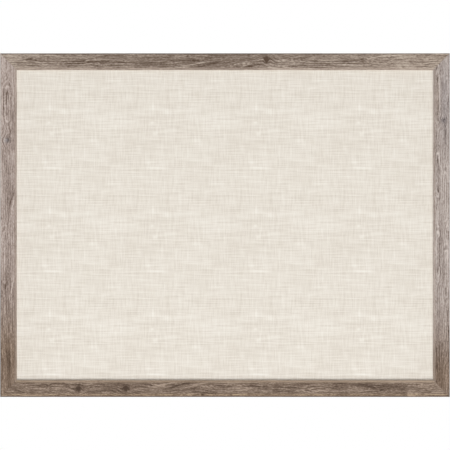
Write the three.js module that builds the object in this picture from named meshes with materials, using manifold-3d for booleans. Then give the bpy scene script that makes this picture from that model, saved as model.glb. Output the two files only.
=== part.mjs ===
// A framed linen bulletin board: a 24 by 18 inch pinning panel in a mitred wood-look moulding, hung by two D-rings.
//
// Lengths are in millimetres. The board hangs upright: +X runs to the right, +Z up, and the linen faces -Y.
// The plane Y = 0 is the wall, and the origin is midway between the two wall hooks, where they bear in the rings.

import * as THREE from 'three';
import { mergeVertices } from 'three/addons/utils/BufferGeometryUtils.js';
import Module from 'manifold-3d';

// Covered panel: linen wrapped round a sheet of cork on a softboard core, with a hardboard back.
const panelWidth = 609.6;
const panelHeight = 457.2;
const linenThickness = 0.8;
const linenCornerRadius = 1.5;
const linenTurnedMargin = 25;
const linenWrapEase = 0.2;
const corkThickness = 3;
const coreThickness = 5;
const hardboardThickness = 2.5;
const hardboardEase = 0.5;
const hardboardCornerRadius = 2;
const glueLine = 0.1;

// Moulding: one profile for the two rails and the two stiles, mitred at the corners.
const railFace = 24;
const railDepth = 19;
const rabbetWidth = 6.5;
const lipThickness = 5;
const outerEdgeRadius = 2;
const innerBevelWidth = 3.4;
const innerBevelDrop = 1.2;
const backEdgeChamfer = 0.8;
const panelFitGap = 0.8;
const mitreGap = 0.2;

// V-nails: folded steel strips pressed across each mitre from the back.
const vNailSheet = 0.5;
const vNailLeg = 5;
const vNailDepth = 10;
const vNailSink = 0.1;
const vNailKerfGap = 0.15;
const vNailOuterInset = 4;
const vNailSpacing = 5.8;

// Glazier points: flat steel darts pushed into the rabbet wall, which hold the panel stack in.
const pointWidth = 8;
const pointBite = 6.5;
const pointTaper = 4;
const pointTail = 9;
const pointSheet = 0.45;
const pointCornerRadius = 1;
const pointSlotGap = 0.15;
const pointSeatGap = 0.05;
const pointsPerRail = 4;
const pointsPerStile = 3;

// D-ring hangers: a folded steel strap with a wire ring in its barrel, one on each stile.
const hookDrop = 80;
const wireRadius = 0.95;
const ringBendRadius = 2;
const ringReach = 11.5;
const ringSideGap = 0.5;
const ringBoreGap = 0.25;
const ringRestGap = 0.3;
const strapSheet = 0.8;
const strapWidth = 9.5;
const strapLength = 38;
const strapLayerGap = 0.1;
const strapSeatGap = 0.05;
const strapHoleRadius = 1.9;
const firstHoleDrop = 12;
const lastHoleInset = 9;

// Pan-head screws that hold the straps.
const screwHeadRadius = 3.3;
const screwHeadHeight = 2;
const screwHeadRim = 0.8;
const screwShankRadius = 1.6;
const screwShankLength = 11;
const screwPointLength = 3;
const screwSeatGap = 0.05;
const pilotGap = 0.2;
const recessArm = 1.9;
const recessWidth = 0.7;
const recessDepth = 1.2;

// Wall bumpers: soft domes with a flat top, stuck behind the bottom rail.
const bumperRadius = 5;
const bumperHeight = 3.9;
const bumperRim = 1;
const bumperTopRadius = 3;
const bumperInset = 30;

// A cut runs this far past the face that it opens.
const cutOverrun = 2;

// How finely curves are divided, in counts.
const edgeSegments = 6;
const roundSegments = 24;
const wireSides = 10;
const ringSegments = 60;

// How close two vertices are before they count as one.
const weldTolerance = 1e-4;

// Sizes that follow from the ones above. In the board's own frame X runs right, Y down and Z to the wall, and the
// back of the moulding is Z = 0.
const openingWidth = panelWidth + 2 * panelFitGap - 2 * rabbetWidth;
const openingHeight = panelHeight + 2 * panelFitGap - 2 * rabbetWidth;
const frameWidth = openingWidth + 2 * railFace;
const frameHeight = openingHeight + 2 * railFace;
const backLand = railFace - rabbetWidth;

const linenFront = -railDepth + lipThickness;
const corkFront = linenFront + linenThickness + glueLine;
const coreFront = corkFront + corkThickness + glueLine;
const marginFront = coreFront + coreThickness + glueLine;
const hardboardFront = marginFront + linenThickness + glueLine;
const hardboardBack = hardboardFront + hardboardThickness;

const foldRadius = wireRadius + ringBoreGap + strapSheet / 2;
const barrelRadius = foldRadius + strapSheet / 2;
const ringAxisHeight = strapSeatGap + barrelRadius;
const upperLayerMiddle = strapSheet * 1.5 + strapLayerGap;
const strapStack = upperLayerMiddle + strapSheet / 2;
const ringLean = Math.asin((ringAxisHeight - wireRadius - ringRestGap) / ringReach);
const hookToAxis = ringReach * Math.cos(ringLean) - wireRadius;
const wallPlane = ringAxisHeight + barrelRadius;
const hangerX = frameWidth / 2 - backLand / 2;
const hangerY = hookDrop + hookToAxis - frameHeight / 2;

const wasm = await Module();
wasm.setup();

// A geometry as a manifold solid, with its shared vertices merged.
function solidOf(geometry) {
  const bare = geometry.index ? geometry.toNonIndexed() : geometry.clone();
  bare.deleteAttribute('normal');
  bare.deleteAttribute('uv');
  const merged = mergeVertices(bare, weldTolerance);
  return new wasm.Manifold(
    new wasm.Mesh({
      numProp: 3,
      vertProperties: merged.attributes.position.array,
      triVerts: new Uint32Array(merged.index.array),
    }),
  );
}

// A manifold solid as a flat-shaded geometry.
function geometryOf(solid) {
  const made = solid.getMesh();
  const geometry = new THREE.BufferGeometry();
  geometry.setAttribute('position', new THREE.BufferAttribute(made.vertProperties, 3));
  geometry.setIndex(new THREE.BufferAttribute(made.triVerts, 1));
  const faceted = geometry.toNonIndexed();
  faceted.computeVertexNormals();
  return faceted;
}

// The geometry with every tool taken out of it.
function cut(geometry, tools) {
  return geometryOf(tools.reduce((solid, tool) => solid.subtract(solidOf(tool)), solidOf(geometry)));
}

// The space that two geometries share.
function common(first, second) {
  return geometryOf(solidOf(first).intersect(solidOf(second)));
}

// A shape raised from one height to another.
function raised(shape, from, to) {
  const geometry = new THREE.ExtrudeGeometry(shape, {
    depth: to - from,
    bevelEnabled: false,
    curveSegments: edgeSegments,
  });
  return geometry.translate(0, 0, from);
}

// A rectangle about the origin with rounded corners.
function roundedRectangle(width, height, radius) {
  const right = width / 2;
  const bottom = height / 2;
  const shape = new THREE.Shape();
  shape.moveTo(-right + radius, -bottom);
  shape.lineTo(right - radius, -bottom);
  shape.absarc(right - radius, -bottom + radius, radius, -Math.PI / 2, 0, false);
  shape.lineTo(right, bottom - radius);
  shape.absarc(right - radius, bottom - radius, radius, 0, Math.PI / 2, false);
  shape.lineTo(-right + radius, bottom);
  shape.absarc(-right + radius, bottom - radius, radius, Math.PI / 2, Math.PI, false);
  shape.lineTo(-right, -bottom + radius);
  shape.absarc(-right + radius, -bottom + radius, radius, Math.PI, Math.PI * 1.5, false);
  return shape;
}

// A plain rectangle about the origin.
function rectangle(width, height) {
  const shape = new THREE.Shape();
  shape.moveTo(-width / 2, -height / 2);
  shape.lineTo(width / 2, -height / 2);
  shape.lineTo(width / 2, height / 2);
  shape.lineTo(-width / 2, height / 2);
  return shape;
}

// A round tool that stands on Z from one height to another.
function roundTool(radius, from, to) {
  const geometry = new THREE.CylinderGeometry(radius, radius, to - from, roundSegments);
  geometry.rotateX(Math.PI / 2);
  return geometry.translate(0, 0, (from + to) / 2);
}

// A profile of [radius, height] points turned about Z.
function turned(points) {
  const profile = points.map(([radius, height]) => new THREE.Vector2(radius, height));
  return new THREE.LatheGeometry(profile, roundSegments).rotateX(Math.PI / 2);
}

// Points on a quarter of an ellipse, from its widest radius up to its top.
function domePoints(baseRadius, topRadius, baseHeight, topHeight) {
  const points = [];
  for (let step = 0; step <= edgeSegments; step += 1) {
    const angle = (Math.PI / 2) * (step / edgeSegments);
    points.push([
      topRadius + (baseRadius - topRadius) * Math.cos(angle),
      baseHeight + (topHeight - baseHeight) * Math.sin(angle),
    ]);
  }
  return points;
}

// Moulding

// The moulding's section: X runs in from the outer edge, and Y to the wall from the back face.
function mouldingShape() {
  const face = -railDepth;
  const shape = new THREE.Shape();
  shape.moveTo(backEdgeChamfer, 0);
  shape.lineTo(backLand, 0);
  shape.lineTo(backLand, linenFront);
  shape.lineTo(railFace, linenFront);
  shape.lineTo(railFace, face + innerBevelDrop);
  shape.lineTo(railFace - innerBevelWidth, face);
  shape.lineTo(outerEdgeRadius, face);
  shape.absarc(outerEdgeRadius, face + outerEdgeRadius, outerEdgeRadius, -Math.PI / 2, -Math.PI, true);
  shape.lineTo(0, -backEdgeChamfer);
  return shape;
}

// A mitred length of moulding in a rail's own frame: X along it, Y in from the outer edge, Z to the wall.
function mitredMoulding(length) {
  const geometry = raised(mouldingShape(), -length / 2, length / 2);
  geometry.applyMatrix4(
    new THREE.Matrix4().makeBasis(
      new THREE.Vector3(0, 1, 0),
      new THREE.Vector3(0, 0, 1),
      new THREE.Vector3(1, 0, 0),
    ),
  );
  const position = geometry.attributes.position;
  for (let i = 0; i < position.count; i += 1) {
    const mitre = position.getY(i) + mitreGap * Math.SQRT1_2;
    position.setX(i, position.getX(i) - Math.sign(position.getX(i)) * mitre);
  }
  return geometry;
}

// Fasteners in the moulding

// The V-nail's folded section, grown by a gap all round. Its fold is at the origin and its legs run along +X and +Y.
function vNailShape(gap) {
  const tip = vNailLeg + gap;
  const inside = vNailSheet + gap;
  const shape = new THREE.Shape();
  shape.moveTo(-gap, -gap);
  shape.lineTo(tip, -gap);
  shape.lineTo(tip, inside);
  shape.lineTo(inside, inside);
  shape.lineTo(inside, tip);
  shape.lineTo(-gap, tip);
  return shape;
}

// The distances of a corner's V-nails from its outer edges.
function vNailInsets() {
  return [vNailOuterInset, vNailOuterInset + vNailSpacing];
}

// The kerfs that a corner's V-nails press into a moulding of that length, at both of its ends.
function vNailKerfs(length) {
  const kerfs = [];
  for (const inset of vNailInsets()) {
    const depth = vNailSink + vNailDepth + vNailKerfGap;
    const left = raised(vNailShape(vNailKerfGap), -depth, cutOverrun);
    const right = left.clone().rotateZ(Math.PI / 2);
    kerfs.push(left.translate(inset - length / 2, inset, 0), right.translate(length / 2 - inset, inset, 0));
  }
  return kerfs;
}

// The glazier point's outline, grown by a gap all round: its tip bites along -Y, and its tail lies along +Y.
function pointShape(gap) {
  const side = pointWidth / 2 + gap;
  const tail = pointTail + gap;
  const shoulder = pointTaper - pointBite;
  const shape = new THREE.Shape();
  shape.moveTo(0, -pointBite - gap);
  shape.lineTo(side, shoulder);
  shape.lineTo(side, tail - pointCornerRadius);
  shape.absarc(side - pointCornerRadius, tail - pointCornerRadius, pointCornerRadius, 0, Math.PI / 2, false);
  shape.lineTo(-side + pointCornerRadius, tail);
  shape.absarc(-side + pointCornerRadius, tail - pointCornerRadius, pointCornerRadius, Math.PI / 2, Math.PI, false);
  shape.lineTo(-side, shoulder);
  return shape;
}

// Where the glazier points stand along a side of the panel.
function pointPlaces(span, count) {
  return Array.from({ length: count }, (_, i) => ((i + 0.5) / count - 0.5) * span);
}

// The slots that the glazier points cut in a rabbet wall.
function pointSlots(places) {
  const from = hardboardBack + pointSeatGap - pointSlotGap;
  const to = hardboardBack + pointSeatGap + pointSheet + pointSlotGap;
  return places.map((along) => raised(pointShape(pointSlotGap), from, to).translate(along, backLand, 0));
}

// The pilot holes for a strap's screws, at these places along a stile.
function pilotHoles(places) {
  const depth = screwShankLength + screwPointLength - strapStack + pilotGap;
  return places.map((along) =>
    roundTool(screwShankRadius + pilotGap, -depth, cutOverrun).translate(along, backLand / 2, 0),
  );
}

// Panel

// The linen: its face, the edges that it wraps, and the margins turned over behind the core.
function linenCover() {
  const back = marginFront + linenThickness;
  const hollowEase = 2 * linenThickness;
  const outside = raised(roundedRectangle(panelWidth, panelHeight, linenCornerRadius), linenFront, back);
  const hollow = raised(
    rectangle(panelWidth - hollowEase, panelHeight - hollowEase),
    linenFront + linenThickness,
    marginFront,
  );
  const backOpening = raised(
    rectangle(panelWidth - 2 * linenTurnedMargin, panelHeight - 2 * linenTurnedMargin),
    coreFront,
    back + cutOverrun,
  );
  return cut(outside, [hollow, backOpening]);
}

// One of the two sheets inside the linen.
function innerSheet(from, thickness) {
  const ease = 2 * (linenThickness + linenWrapEase);
  return raised(rectangle(panelWidth - ease, panelHeight - ease), from, from + thickness);
}

// The hardboard that closes the back of the panel.
function hardboardSheet() {
  const outline = roundedRectangle(
    panelWidth - 2 * hardboardEase,
    panelHeight - 2 * hardboardEase,
    hardboardCornerRadius,
  );
  return raised(outline, hardboardFront, hardboardBack);
}

// Hangers, in a frame whose origin lies on the moulding's back under the ring's axis: X across the strap, Y down it.

// The strap seen from its edge: one sheet folded back on itself round the ring. X runs down the strap.
function strapEdgeShape() {
  const axis = barrelRadius;
  const bore = foldRadius - strapSheet / 2;
  const throatRadius = axis - upperLayerMiddle;
  const throat = foldRadius + throatRadius;
  const upperBottom = upperLayerMiddle - strapSheet / 2;
  const shape = new THREE.Shape();
  shape.moveTo(strapLength, 0);
  shape.lineTo(0, 0);
  shape.absarc(0, axis, barrelRadius, -Math.PI / 2, 0, true);
  shape.absarc(throat, axis, throatRadius - strapSheet / 2, Math.PI, Math.PI * 1.5, false);
  shape.lineTo(strapLength, strapStack);
  shape.lineTo(strapLength, upperBottom);
  shape.lineTo(throat, upperBottom);
  shape.absarc(throat, axis, throatRadius + strapSheet / 2, Math.PI * 1.5, Math.PI, true);
  shape.absarc(0, axis, bore, 0, -Math.PI / 2, false);
  shape.lineTo(strapLength, strapSheet);
  return shape;
}

// The strap seen from the wall: square at the barrel and round at its foot. Y runs down the strap.
function strapPlanShape() {
  const side = strapWidth / 2;
  const shape = new THREE.Shape();
  shape.moveTo(-side, -barrelRadius - cutOverrun);
  shape.lineTo(side, -barrelRadius - cutOverrun);
  shape.lineTo(side, strapLength - side);
  shape.absarc(0, strapLength - side, side, 0, Math.PI, false);
  return shape;
}

// How far below the ring's axis the strap's screws are.
function screwDrops() {
  return [firstHoleDrop, strapLength - lastHoleInset];
}

// The folded strap with its two screw holes.
function strapGeometry() {
  const folded = new THREE.ExtrudeGeometry(strapEdgeShape(), {
    depth: strapWidth + 2 * cutOverrun,
    bevelEnabled: false,
    curveSegments: roundSegments / 2,
  });
  folded.translate(0, 0, -strapWidth / 2 - cutOverrun);
  folded.applyMatrix4(
    new THREE.Matrix4().makeBasis(
      new THREE.Vector3(0, 1, 0),
      new THREE.Vector3(0, 0, 1),
      new THREE.Vector3(1, 0, 0),
    ),
  );
  const plan = raised(strapPlanShape(), -cutOverrun, 2 * barrelRadius + cutOverrun);
  const holes = screwDrops().map((drop) =>
    roundTool(strapHoleRadius, -cutOverrun, strapStack + cutOverrun).translate(0, drop, 0),
  );
  return cut(common(folded, plan), holes);
}

// The D-ring: a closed wire with a straight bar in the barrel and a half-round bow that rises towards -Y.
function ringGeometry() {
  const bow = strapWidth / 2 + ringSideGap + ringBendRadius;
  const bend = bow - ringBendRadius;
  const shoulder = ringReach - bow;
  const corner = ringBendRadius;
  const outline = new THREE.Path();
  outline.moveTo(0, 0);
  outline.lineTo(bend, 0);
  outline.absarc(bend, -corner, corner, Math.PI / 2, 0, true);
  outline.lineTo(bow, -shoulder);
  outline.absarc(0, -shoulder, bow, 0, -Math.PI, true);
  outline.lineTo(-bow, -corner);
  outline.absarc(-bend, -corner, corner, -Math.PI, -Math.PI * 1.5, true);
  outline.lineTo(0, 0);
  const wire = new THREE.CatmullRomCurve3(
    outline.getSpacedPoints(ringSegments).slice(0, -1).map((p) => new THREE.Vector3(p.x, p.y, 0)),
    true,
    'centripetal',
  );
  return new THREE.TubeGeometry(wire, ringSegments, wireRadius, wireSides, true);
}

// A pan-head screw: its head stands on Z = 0, and its shank runs down to a point.
function screwGeometry() {
  const body = turned([
    [0, -screwShankLength - screwPointLength],
    [screwShankRadius, -screwShankLength],
    [screwShankRadius, 0],
    [screwHeadRadius, 0],
    ...domePoints(screwHeadRadius, 0, screwHeadRim, screwHeadHeight),
  ]);
  const floor = screwHeadHeight - recessDepth;
  const top = screwHeadHeight + cutOverrun;
  return cut(body, [
    raised(rectangle(2 * recessArm, recessWidth), floor, top),
    raised(rectangle(recessWidth, 2 * recessArm), floor, top),
  ]);
}

// A wall bumper that stands on Z = 0.
function bumperGeometry() {
  return turned([
    [0, 0],
    [bumperRadius, 0],
    ...domePoints(bumperRadius, bumperTopRadius, bumperRim, bumperHeight),
    [0, bumperHeight],
  ]);
}

// Finishes

function finish(color, roughness, metalness) {
  return new THREE.MeshStandardMaterial({ color, roughness, metalness });
}

const finishes = {
  rail: finish(0x8c7b6f, 0.65, 0),
  stile: finish(0xa0938b, 0.65, 0),
  linen: finish(0xe6e0d5, 0.95, 0),
  cork: finish(0xb08a5b, 0.9, 0),
  softboard: finish(0xb9a68a, 0.95, 0),
  hardboard: finish(0x6f5039, 0.75, 0),
  zinc: finish(0xc3c5c8, 0.35, 1),
  bumper: finish(0xd9dcdf, 0.4, 0),
};

// Assembly

function piece(name, geometry, material) {
  const mesh = new THREE.Mesh(geometry, material);
  mesh.name = name;
  return mesh;
}

// The board's own frame: X right, Y down, Z to the wall, with its origin at the middle of the moulding's back plane.
const board = new THREE.Group();
board.rotation.x = -Math.PI / 2;
board.position.set(0, -wallPlane, hookDrop - frameHeight / 2);

// The four lengths of moulding with their glazier points, each in a frame turned to its own side.
function addSide(name, side, length, span, count, turns, x, y, screwPlaces, material) {
  const frame = new THREE.Group();
  frame.rotation.z = (turns * Math.PI) / 2;
  frame.position.set(x, y, 0);
  const places = pointPlaces(span, count);
  const tools = [...vNailKerfs(length), ...pointSlots(places), ...pilotHoles(screwPlaces)];
  frame.add(piece(name, cut(mitredMoulding(length), tools), material));
  places.forEach((along, i) => {
    const point = piece(`point_${side}_${i + 1}`, raised(pointShape(0), 0, pointSheet), finishes.zinc);
    point.position.set(along, backLand, hardboardBack + pointSeatGap);
    frame.add(point);
  });
  board.add(frame);
}

const screwYs = screwDrops().map((drop) => hangerY + drop);
const sideX = frameWidth / 2;
const sideY = frameHeight / 2;
const leftScrews = screwYs.map((y) => -y);
addSide('top_rail', 'top', frameWidth, panelWidth, pointsPerRail, 0, 0, -sideY, [], finishes.rail);
addSide('right_stile', 'right', frameHeight, panelHeight, pointsPerStile, 1, sideX, 0, screwYs, finishes.stile);
addSide('bottom_rail', 'bottom', frameWidth, panelWidth, pointsPerRail, 2, 0, sideY, [], finishes.rail);
addSide('left_stile', 'left', frameHeight, panelHeight, pointsPerStile, 3, -sideX, 0, leftScrews, finishes.stile);

// The V-nails, in a frame at each outer corner whose X and Y both run inwards.
const corners = [
  ['top_left', 0, -1, -1],
  ['top_right', 1, 1, -1],
  ['bottom_right', 2, 1, 1],
  ['bottom_left', 3, -1, 1],
];
for (const [corner, turns, right, down] of corners) {
  const frame = new THREE.Group();
  frame.rotation.z = (turns * Math.PI) / 2;
  frame.position.set(right * sideX, down * sideY, 0);
  vNailInsets().forEach((inset, i) => {
    const nail = piece(`v_nail_${corner}_${i + 1}`, raised(vNailShape(0), -vNailDepth, 0), finishes.zinc);
    nail.position.set(inset, inset, -vNailSink);
    frame.add(nail);
  });
  board.add(frame);
}

// The panel stack, from the front to the back.
board.add(
  piece('linen_cover', linenCover(), finishes.linen),
  piece('cork_sheet', innerSheet(corkFront, corkThickness), finishes.cork),
  piece('softboard_core', innerSheet(coreFront, coreThickness), finishes.softboard),
  piece('hardboard_back', hardboardSheet(), finishes.hardboard),
);

// The two hangers.
for (const [side, right] of [['left', -1], ['right', 1]]) {
  const hanger = new THREE.Group();
  hanger.position.set(right * hangerX, hangerY, 0);
  const strap = piece(`${side}_hanger_strap`, strapGeometry(), finishes.zinc);
  strap.position.z = strapSeatGap;
  const ring = piece(`${side}_d_ring`, ringGeometry(), finishes.zinc);
  ring.position.z = ringAxisHeight;
  ring.rotation.x = ringLean;
  hanger.add(strap, ring);
  screwDrops().forEach((drop, i) => {
    const screw = piece(`${side}_hanger_screw_${i + 1}`, screwGeometry(), finishes.zinc);
    screw.position.set(0, drop, strapSeatGap + strapStack + screwSeatGap);
    hanger.add(screw);
  });
  board.add(hanger);
}

// The two bumpers that hold the bottom of the board off the wall.
for (const [side, right] of [['left', -1], ['right', 1]]) {
  const bumper = piece(`${side}_wall_bumper`, bumperGeometry(), finishes.bumper);
  bumper.position.set(right * (sideX - bumperInset), sideY - backLand / 2, glueLine);
  board.add(bumper);
}

const bulletinBoard = new THREE.Group();
bulletinBoard.add(board);

export default bulletinBoard;
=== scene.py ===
"""The looks of a framed linen bulletin board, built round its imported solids.

The board hangs upright with its linen facing -Y. Lengths are in metres, and MM turns a
length in millimetres into one. A side's own frame has X along the moulding, Y in from
its outer edge and Z to the wall from its back. A hanging frame has X to the right, Y
down and Z to the wall.
"""

import logging
import math
from collections.abc import Iterable, Mapping, Sequence
from dataclasses import dataclass, field
from enum import Enum

import bmesh
import bpy
from mathutils import Matrix, Vector


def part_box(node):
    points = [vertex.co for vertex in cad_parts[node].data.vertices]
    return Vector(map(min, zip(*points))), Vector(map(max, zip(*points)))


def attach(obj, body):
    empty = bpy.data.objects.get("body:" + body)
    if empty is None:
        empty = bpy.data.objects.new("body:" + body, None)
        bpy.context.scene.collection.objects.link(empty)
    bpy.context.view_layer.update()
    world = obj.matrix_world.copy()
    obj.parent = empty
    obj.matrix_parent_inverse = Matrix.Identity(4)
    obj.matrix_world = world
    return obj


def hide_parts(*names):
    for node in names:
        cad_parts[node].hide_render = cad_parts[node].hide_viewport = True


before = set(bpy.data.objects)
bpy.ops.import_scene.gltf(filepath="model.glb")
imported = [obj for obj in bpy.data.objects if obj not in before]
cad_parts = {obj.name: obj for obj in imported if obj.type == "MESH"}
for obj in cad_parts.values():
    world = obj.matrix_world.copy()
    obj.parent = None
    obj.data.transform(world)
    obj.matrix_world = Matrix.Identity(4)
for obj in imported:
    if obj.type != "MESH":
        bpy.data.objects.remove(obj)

LOG = logging.getLogger("bulletin_board")
MM = 0.001
MAIN_BODY = "board"

# What takes a hanging frame to the board's own
HANGING = Matrix(((1, 0, 0, 0), (0, 0, 1, 0), (0, -1, 0, 0), (0, 0, 0, 1)))

Place = Sequence[float]
Screen = tuple[int, int, int]
Setting = object


def linear(red: int, green: int, blue: int) -> tuple[float, float, float, float]:
    """Turn a colour as a screen shows it into the light that it stands for.

    Args:
        red: The red level, from 0 to 255.
        green: The green level, from 0 to 255.
        blue: The blue level, from 0 to 255.

    Returns:
        The linear red, green, blue and an alpha of 1.
    """
    levels = []
    for level in (red, green, blue):
        share = level / 255
        levels.append(share / 12.92 if share <= 0.04045 else ((share + 0.055) / 1.055) ** 2.4)
    return (levels[0], levels[1], levels[2], 1.0)


# Node trees


@dataclass(frozen=True)
class Field:
    """A value that a node tree works out, which formulas can add, subtract, multiply and divide."""

    graph: "NodeGraph"
    socket: bpy.types.NodeSocket

    def __add__(self, other: "Field | float") -> "Field":
        """Add another value."""
        return self.graph.number("ADD", self, other)

    def __sub__(self, other: "Field | float") -> "Field":
        """Take another value away."""
        return self.graph.number("SUBTRACT", self, other)

    def __rsub__(self, other: float) -> "Field":
        """Take this away from a number."""
        return self.graph.number("SUBTRACT", other, self)

    def __mul__(self, other: "Field | float") -> "Field":
        """Multiply by another value."""
        return self.graph.number("MULTIPLY", self, other)

    def __truediv__(self, other: "Field | float") -> "Field":
        """Divide by another value."""
        return self.graph.number("DIVIDE", self, other)


class NodeGraph:
    """A node tree that is written as formulas."""

    def __init__(self, tree: bpy.types.NodeTree) -> None:
        """Take the tree that the nodes go into.

        Args:
            tree: A shader or geometry node tree.
        """
        self.tree = tree

    def node(
        self, kind: str, inputs: Mapping[str | int, Setting] | None = None, **settings: Setting
    ) -> bpy.types.Node:
        """Add a node.

        Args:
            kind: The node's type name.
            inputs: What goes into its sockets, by identifier, name or number.
            **settings: The node's own settings.

        Returns:
            The new node.
        """
        made = self.tree.nodes.new(kind)
        for name, value in settings.items():
            setattr(made, name, value)
        for key, value in (inputs or {}).items():
            self.feed(made, key, value)
        return made

    def feed(self, node: bpy.types.Node, key: str | int, value: Setting) -> None:
        """Give a node's input a value, or link a field to it.

        Args:
            node: The node.
            key: The input's identifier, name or number.
            value: A field, a socket or a plain value.
        """
        socket = next((s for s in node.inputs if s.identifier == key), None) or node.inputs[key]
        if isinstance(value, Field):
            self.tree.links.new(value.socket, socket)
        elif isinstance(value, bpy.types.NodeSocket):
            self.tree.links.new(value, socket)
        else:
            socket.default_value = value

    def out(self, node: bpy.types.Node, key: str | int = 0) -> Field:
        """Take a node's output as a field."""
        return Field(self, node.outputs[key])

    def number(self, operation: str, *values: "Field | float", clamp: bool = False) -> Field:
        """Work out a sum on numbers.

        Args:
            operation: The Math node's operation.
            *values: One to three values.
            clamp: Whether the result stays from 0 to 1.

        Returns:
            The result.
        """
        inputs = dict(enumerate(values))
        return self.out(self.node("ShaderNodeMath", inputs, operation=operation, use_clamp=clamp))

    def vector(self, x: "Field | float", y: "Field | float", z: "Field | float" = 0.0) -> Field:
        """Join three numbers into a vector."""
        return self.out(self.node("ShaderNodeCombineXYZ", {"X": x, "Y": y, "Z": z}))

    def parts(self, value: Field) -> tuple[Field, Field, Field]:
        """Split a vector into its three numbers."""
        node = self.node("ShaderNodeSeparateXYZ", {"Vector": value})
        return self.out(node, 0), self.out(node, 1), self.out(node, 2)

    def noise(
        self, place: Field, detail: float = 2.0, roughness: float = 0.5, w: "Field | None" = None
    ) -> Field:
        """Work out smooth noise, about 0 and mostly within a half of it.

        Args:
            place: Where the noise is read, in units of its largest features.
            detail: How many finer layers it has.
            roughness: How strong the finer layers are.
            w: A fourth coordinate, where the noise has one.

        Returns:
            The noise.
        """
        inputs = {"Vector": place, "Scale": 1.0, "Detail": detail, "Roughness": roughness}
        if w is not None:
            inputs["W"] = w
        dimensions = "3D" if w is None else "4D"
        return self.out(self.node("ShaderNodeTexNoise", inputs, noise_dimensions=dimensions)) - 0.5

    def grain(
        self,
        place: tuple[Field, Field, Field],
        length: float,
        width: float,
        shift: float = 0.0,
        detail: float = 2.0,
        roughness: float = 0.5,
    ) -> Field:
        """Work out noise whose features are long in one direction, like the grain of wood.

        Args:
            place: The place along and across the grain, in millimetres, and the wood's seed.
            length: How long the features are, in millimetres.
            width: How wide they are, in millimetres.
            shift: What makes this layer unlike the others.
            detail: How many finer layers it has.
            roughness: How strong the finer layers are.

        Returns:
            The noise.
        """
        along, across, seed = place
        return self.noise(self.vector(along / length, across / width, seed + shift), detail, roughness)

    def remap(
        self,
        value: Field,
        low: float,
        high: float,
        to_low: float = 0.0,
        to_high: float = 1.0,
        smooth: bool = False,
    ) -> Field:
        """Map a value from one range to another, and hold it at the ends.

        Args:
            value: The value.
            low: The value that gives to_low.
            high: The value that gives to_high.
            to_low: The result at low.
            to_high: The result at high.
            smooth: Whether the map eases in and out.

        Returns:
            The mapped value.
        """
        limits = dict(enumerate((value, low, high, to_low, to_high)))
        ease = "SMOOTHSTEP" if smooth else "LINEAR"
        return self.out(self.node("ShaderNodeMapRange", limits, interpolation_type=ease))

    def bell(self, squared_distance: Field) -> Field:
        """Fall smoothly from 1 to 0 as a squared distance grows."""
        return self.number("EXPONENT", squared_distance * -1.0)


class Surface(NodeGraph):
    """A material's node tree with its Principled shader."""

    def __init__(self, name: str) -> None:
        """Make an empty material.

        Args:
            name: The material's name.
        """
        self.material = bpy.data.materials.new(name)
        self.material.use_nodes = True
        super().__init__(self.material.node_tree)
        self.tree.nodes.clear()
        self.shader = self.node("ShaderNodeBsdfPrincipled")
        self.output = self.node("ShaderNodeOutputMaterial", {"Surface": self.shader.outputs[0]})

    def shade(self, **inputs: Setting) -> None:
        """Set the shader's sockets; an underscore in a name stands for a space."""
        for name, value in inputs.items():
            self.feed(self.shader, name.replace("_", " "), value)

    def place(self, unit: float = MM) -> tuple[Field, Field, Field]:
        """Give the point's place on the object.

        Args:
            unit: The length that counts as 1.

        Returns:
            The place along X, Y and Z.
        """
        x, y, z = self.parts(self.out(self.node("ShaderNodeTexCoord"), "Object"))
        return x / unit, y / unit, z / unit

    def mottle(self, size: float, detail: float, roughness: float = 0.5) -> Field:
        """Work out noise that is alike in every direction of the object.

        Args:
            size: How large its features are, in millimetres.
            detail: How many finer layers it has.
            roughness: How strong the finer layers are.

        Returns:
            The noise.
        """
        return self.noise(self.vector(*self.place(size * MM)), detail, roughness)

    def attribute(self, name: str, output: str = "Fac") -> Field:
        """Read a value stored on the mesh.

        Args:
            name: The attribute's name.
            output: Vector for a vector, or Fac for a number.

        Returns:
            The attribute's value.
        """
        return self.out(self.node("ShaderNodeAttribute", attribute_name=name), output)

    def bump(self, height: Field, distance: float) -> Field:
        """Turn a height into a normal.

        Args:
            height: The height, of which 1 stands up by the distance.
            distance: That distance, in metres.

        Returns:
            The normal.
        """
        inputs = {"Height": height, "Distance": distance, "Strength": 1.0}
        return self.out(self.node("ShaderNodeBump", inputs))

    def blend(self, share: "Field | float", first: Setting, second: Setting) -> Field:
        """Mix two colours.

        Args:
            share: How much of the second, from 0 to 1.
            first: A colour.
            second: A colour.

        Returns:
            The mixed colour.
        """
        inputs = {"Factor_Float": share, "A_Color": first, "B_Color": second}
        node = self.node("ShaderNodeMix", inputs, data_type="RGBA", clamp_factor=True)
        return Field(self, next(s for s in node.outputs if s.identifier == "Result_Color"))

    def ramp(self, value: Field, *colours: Screen) -> Field:
        """Turn a number into a colour on an even row of colours.

        Args:
            value: The number, from 0 for the first colour to 1 for the last.
            *colours: The colours as a screen shows them.

        Returns:
            The colour.
        """
        node = self.node("ShaderNodeValToRGB", {"Fac": value})
        elements = node.color_ramp.elements
        while len(elements) < len(colours):
            elements.new(1.0)
        for index, colour in enumerate(colours):
            elements[index].position = index / (len(colours) - 1)
            elements[index].color = linear(*colour)
        return self.out(node)


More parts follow.
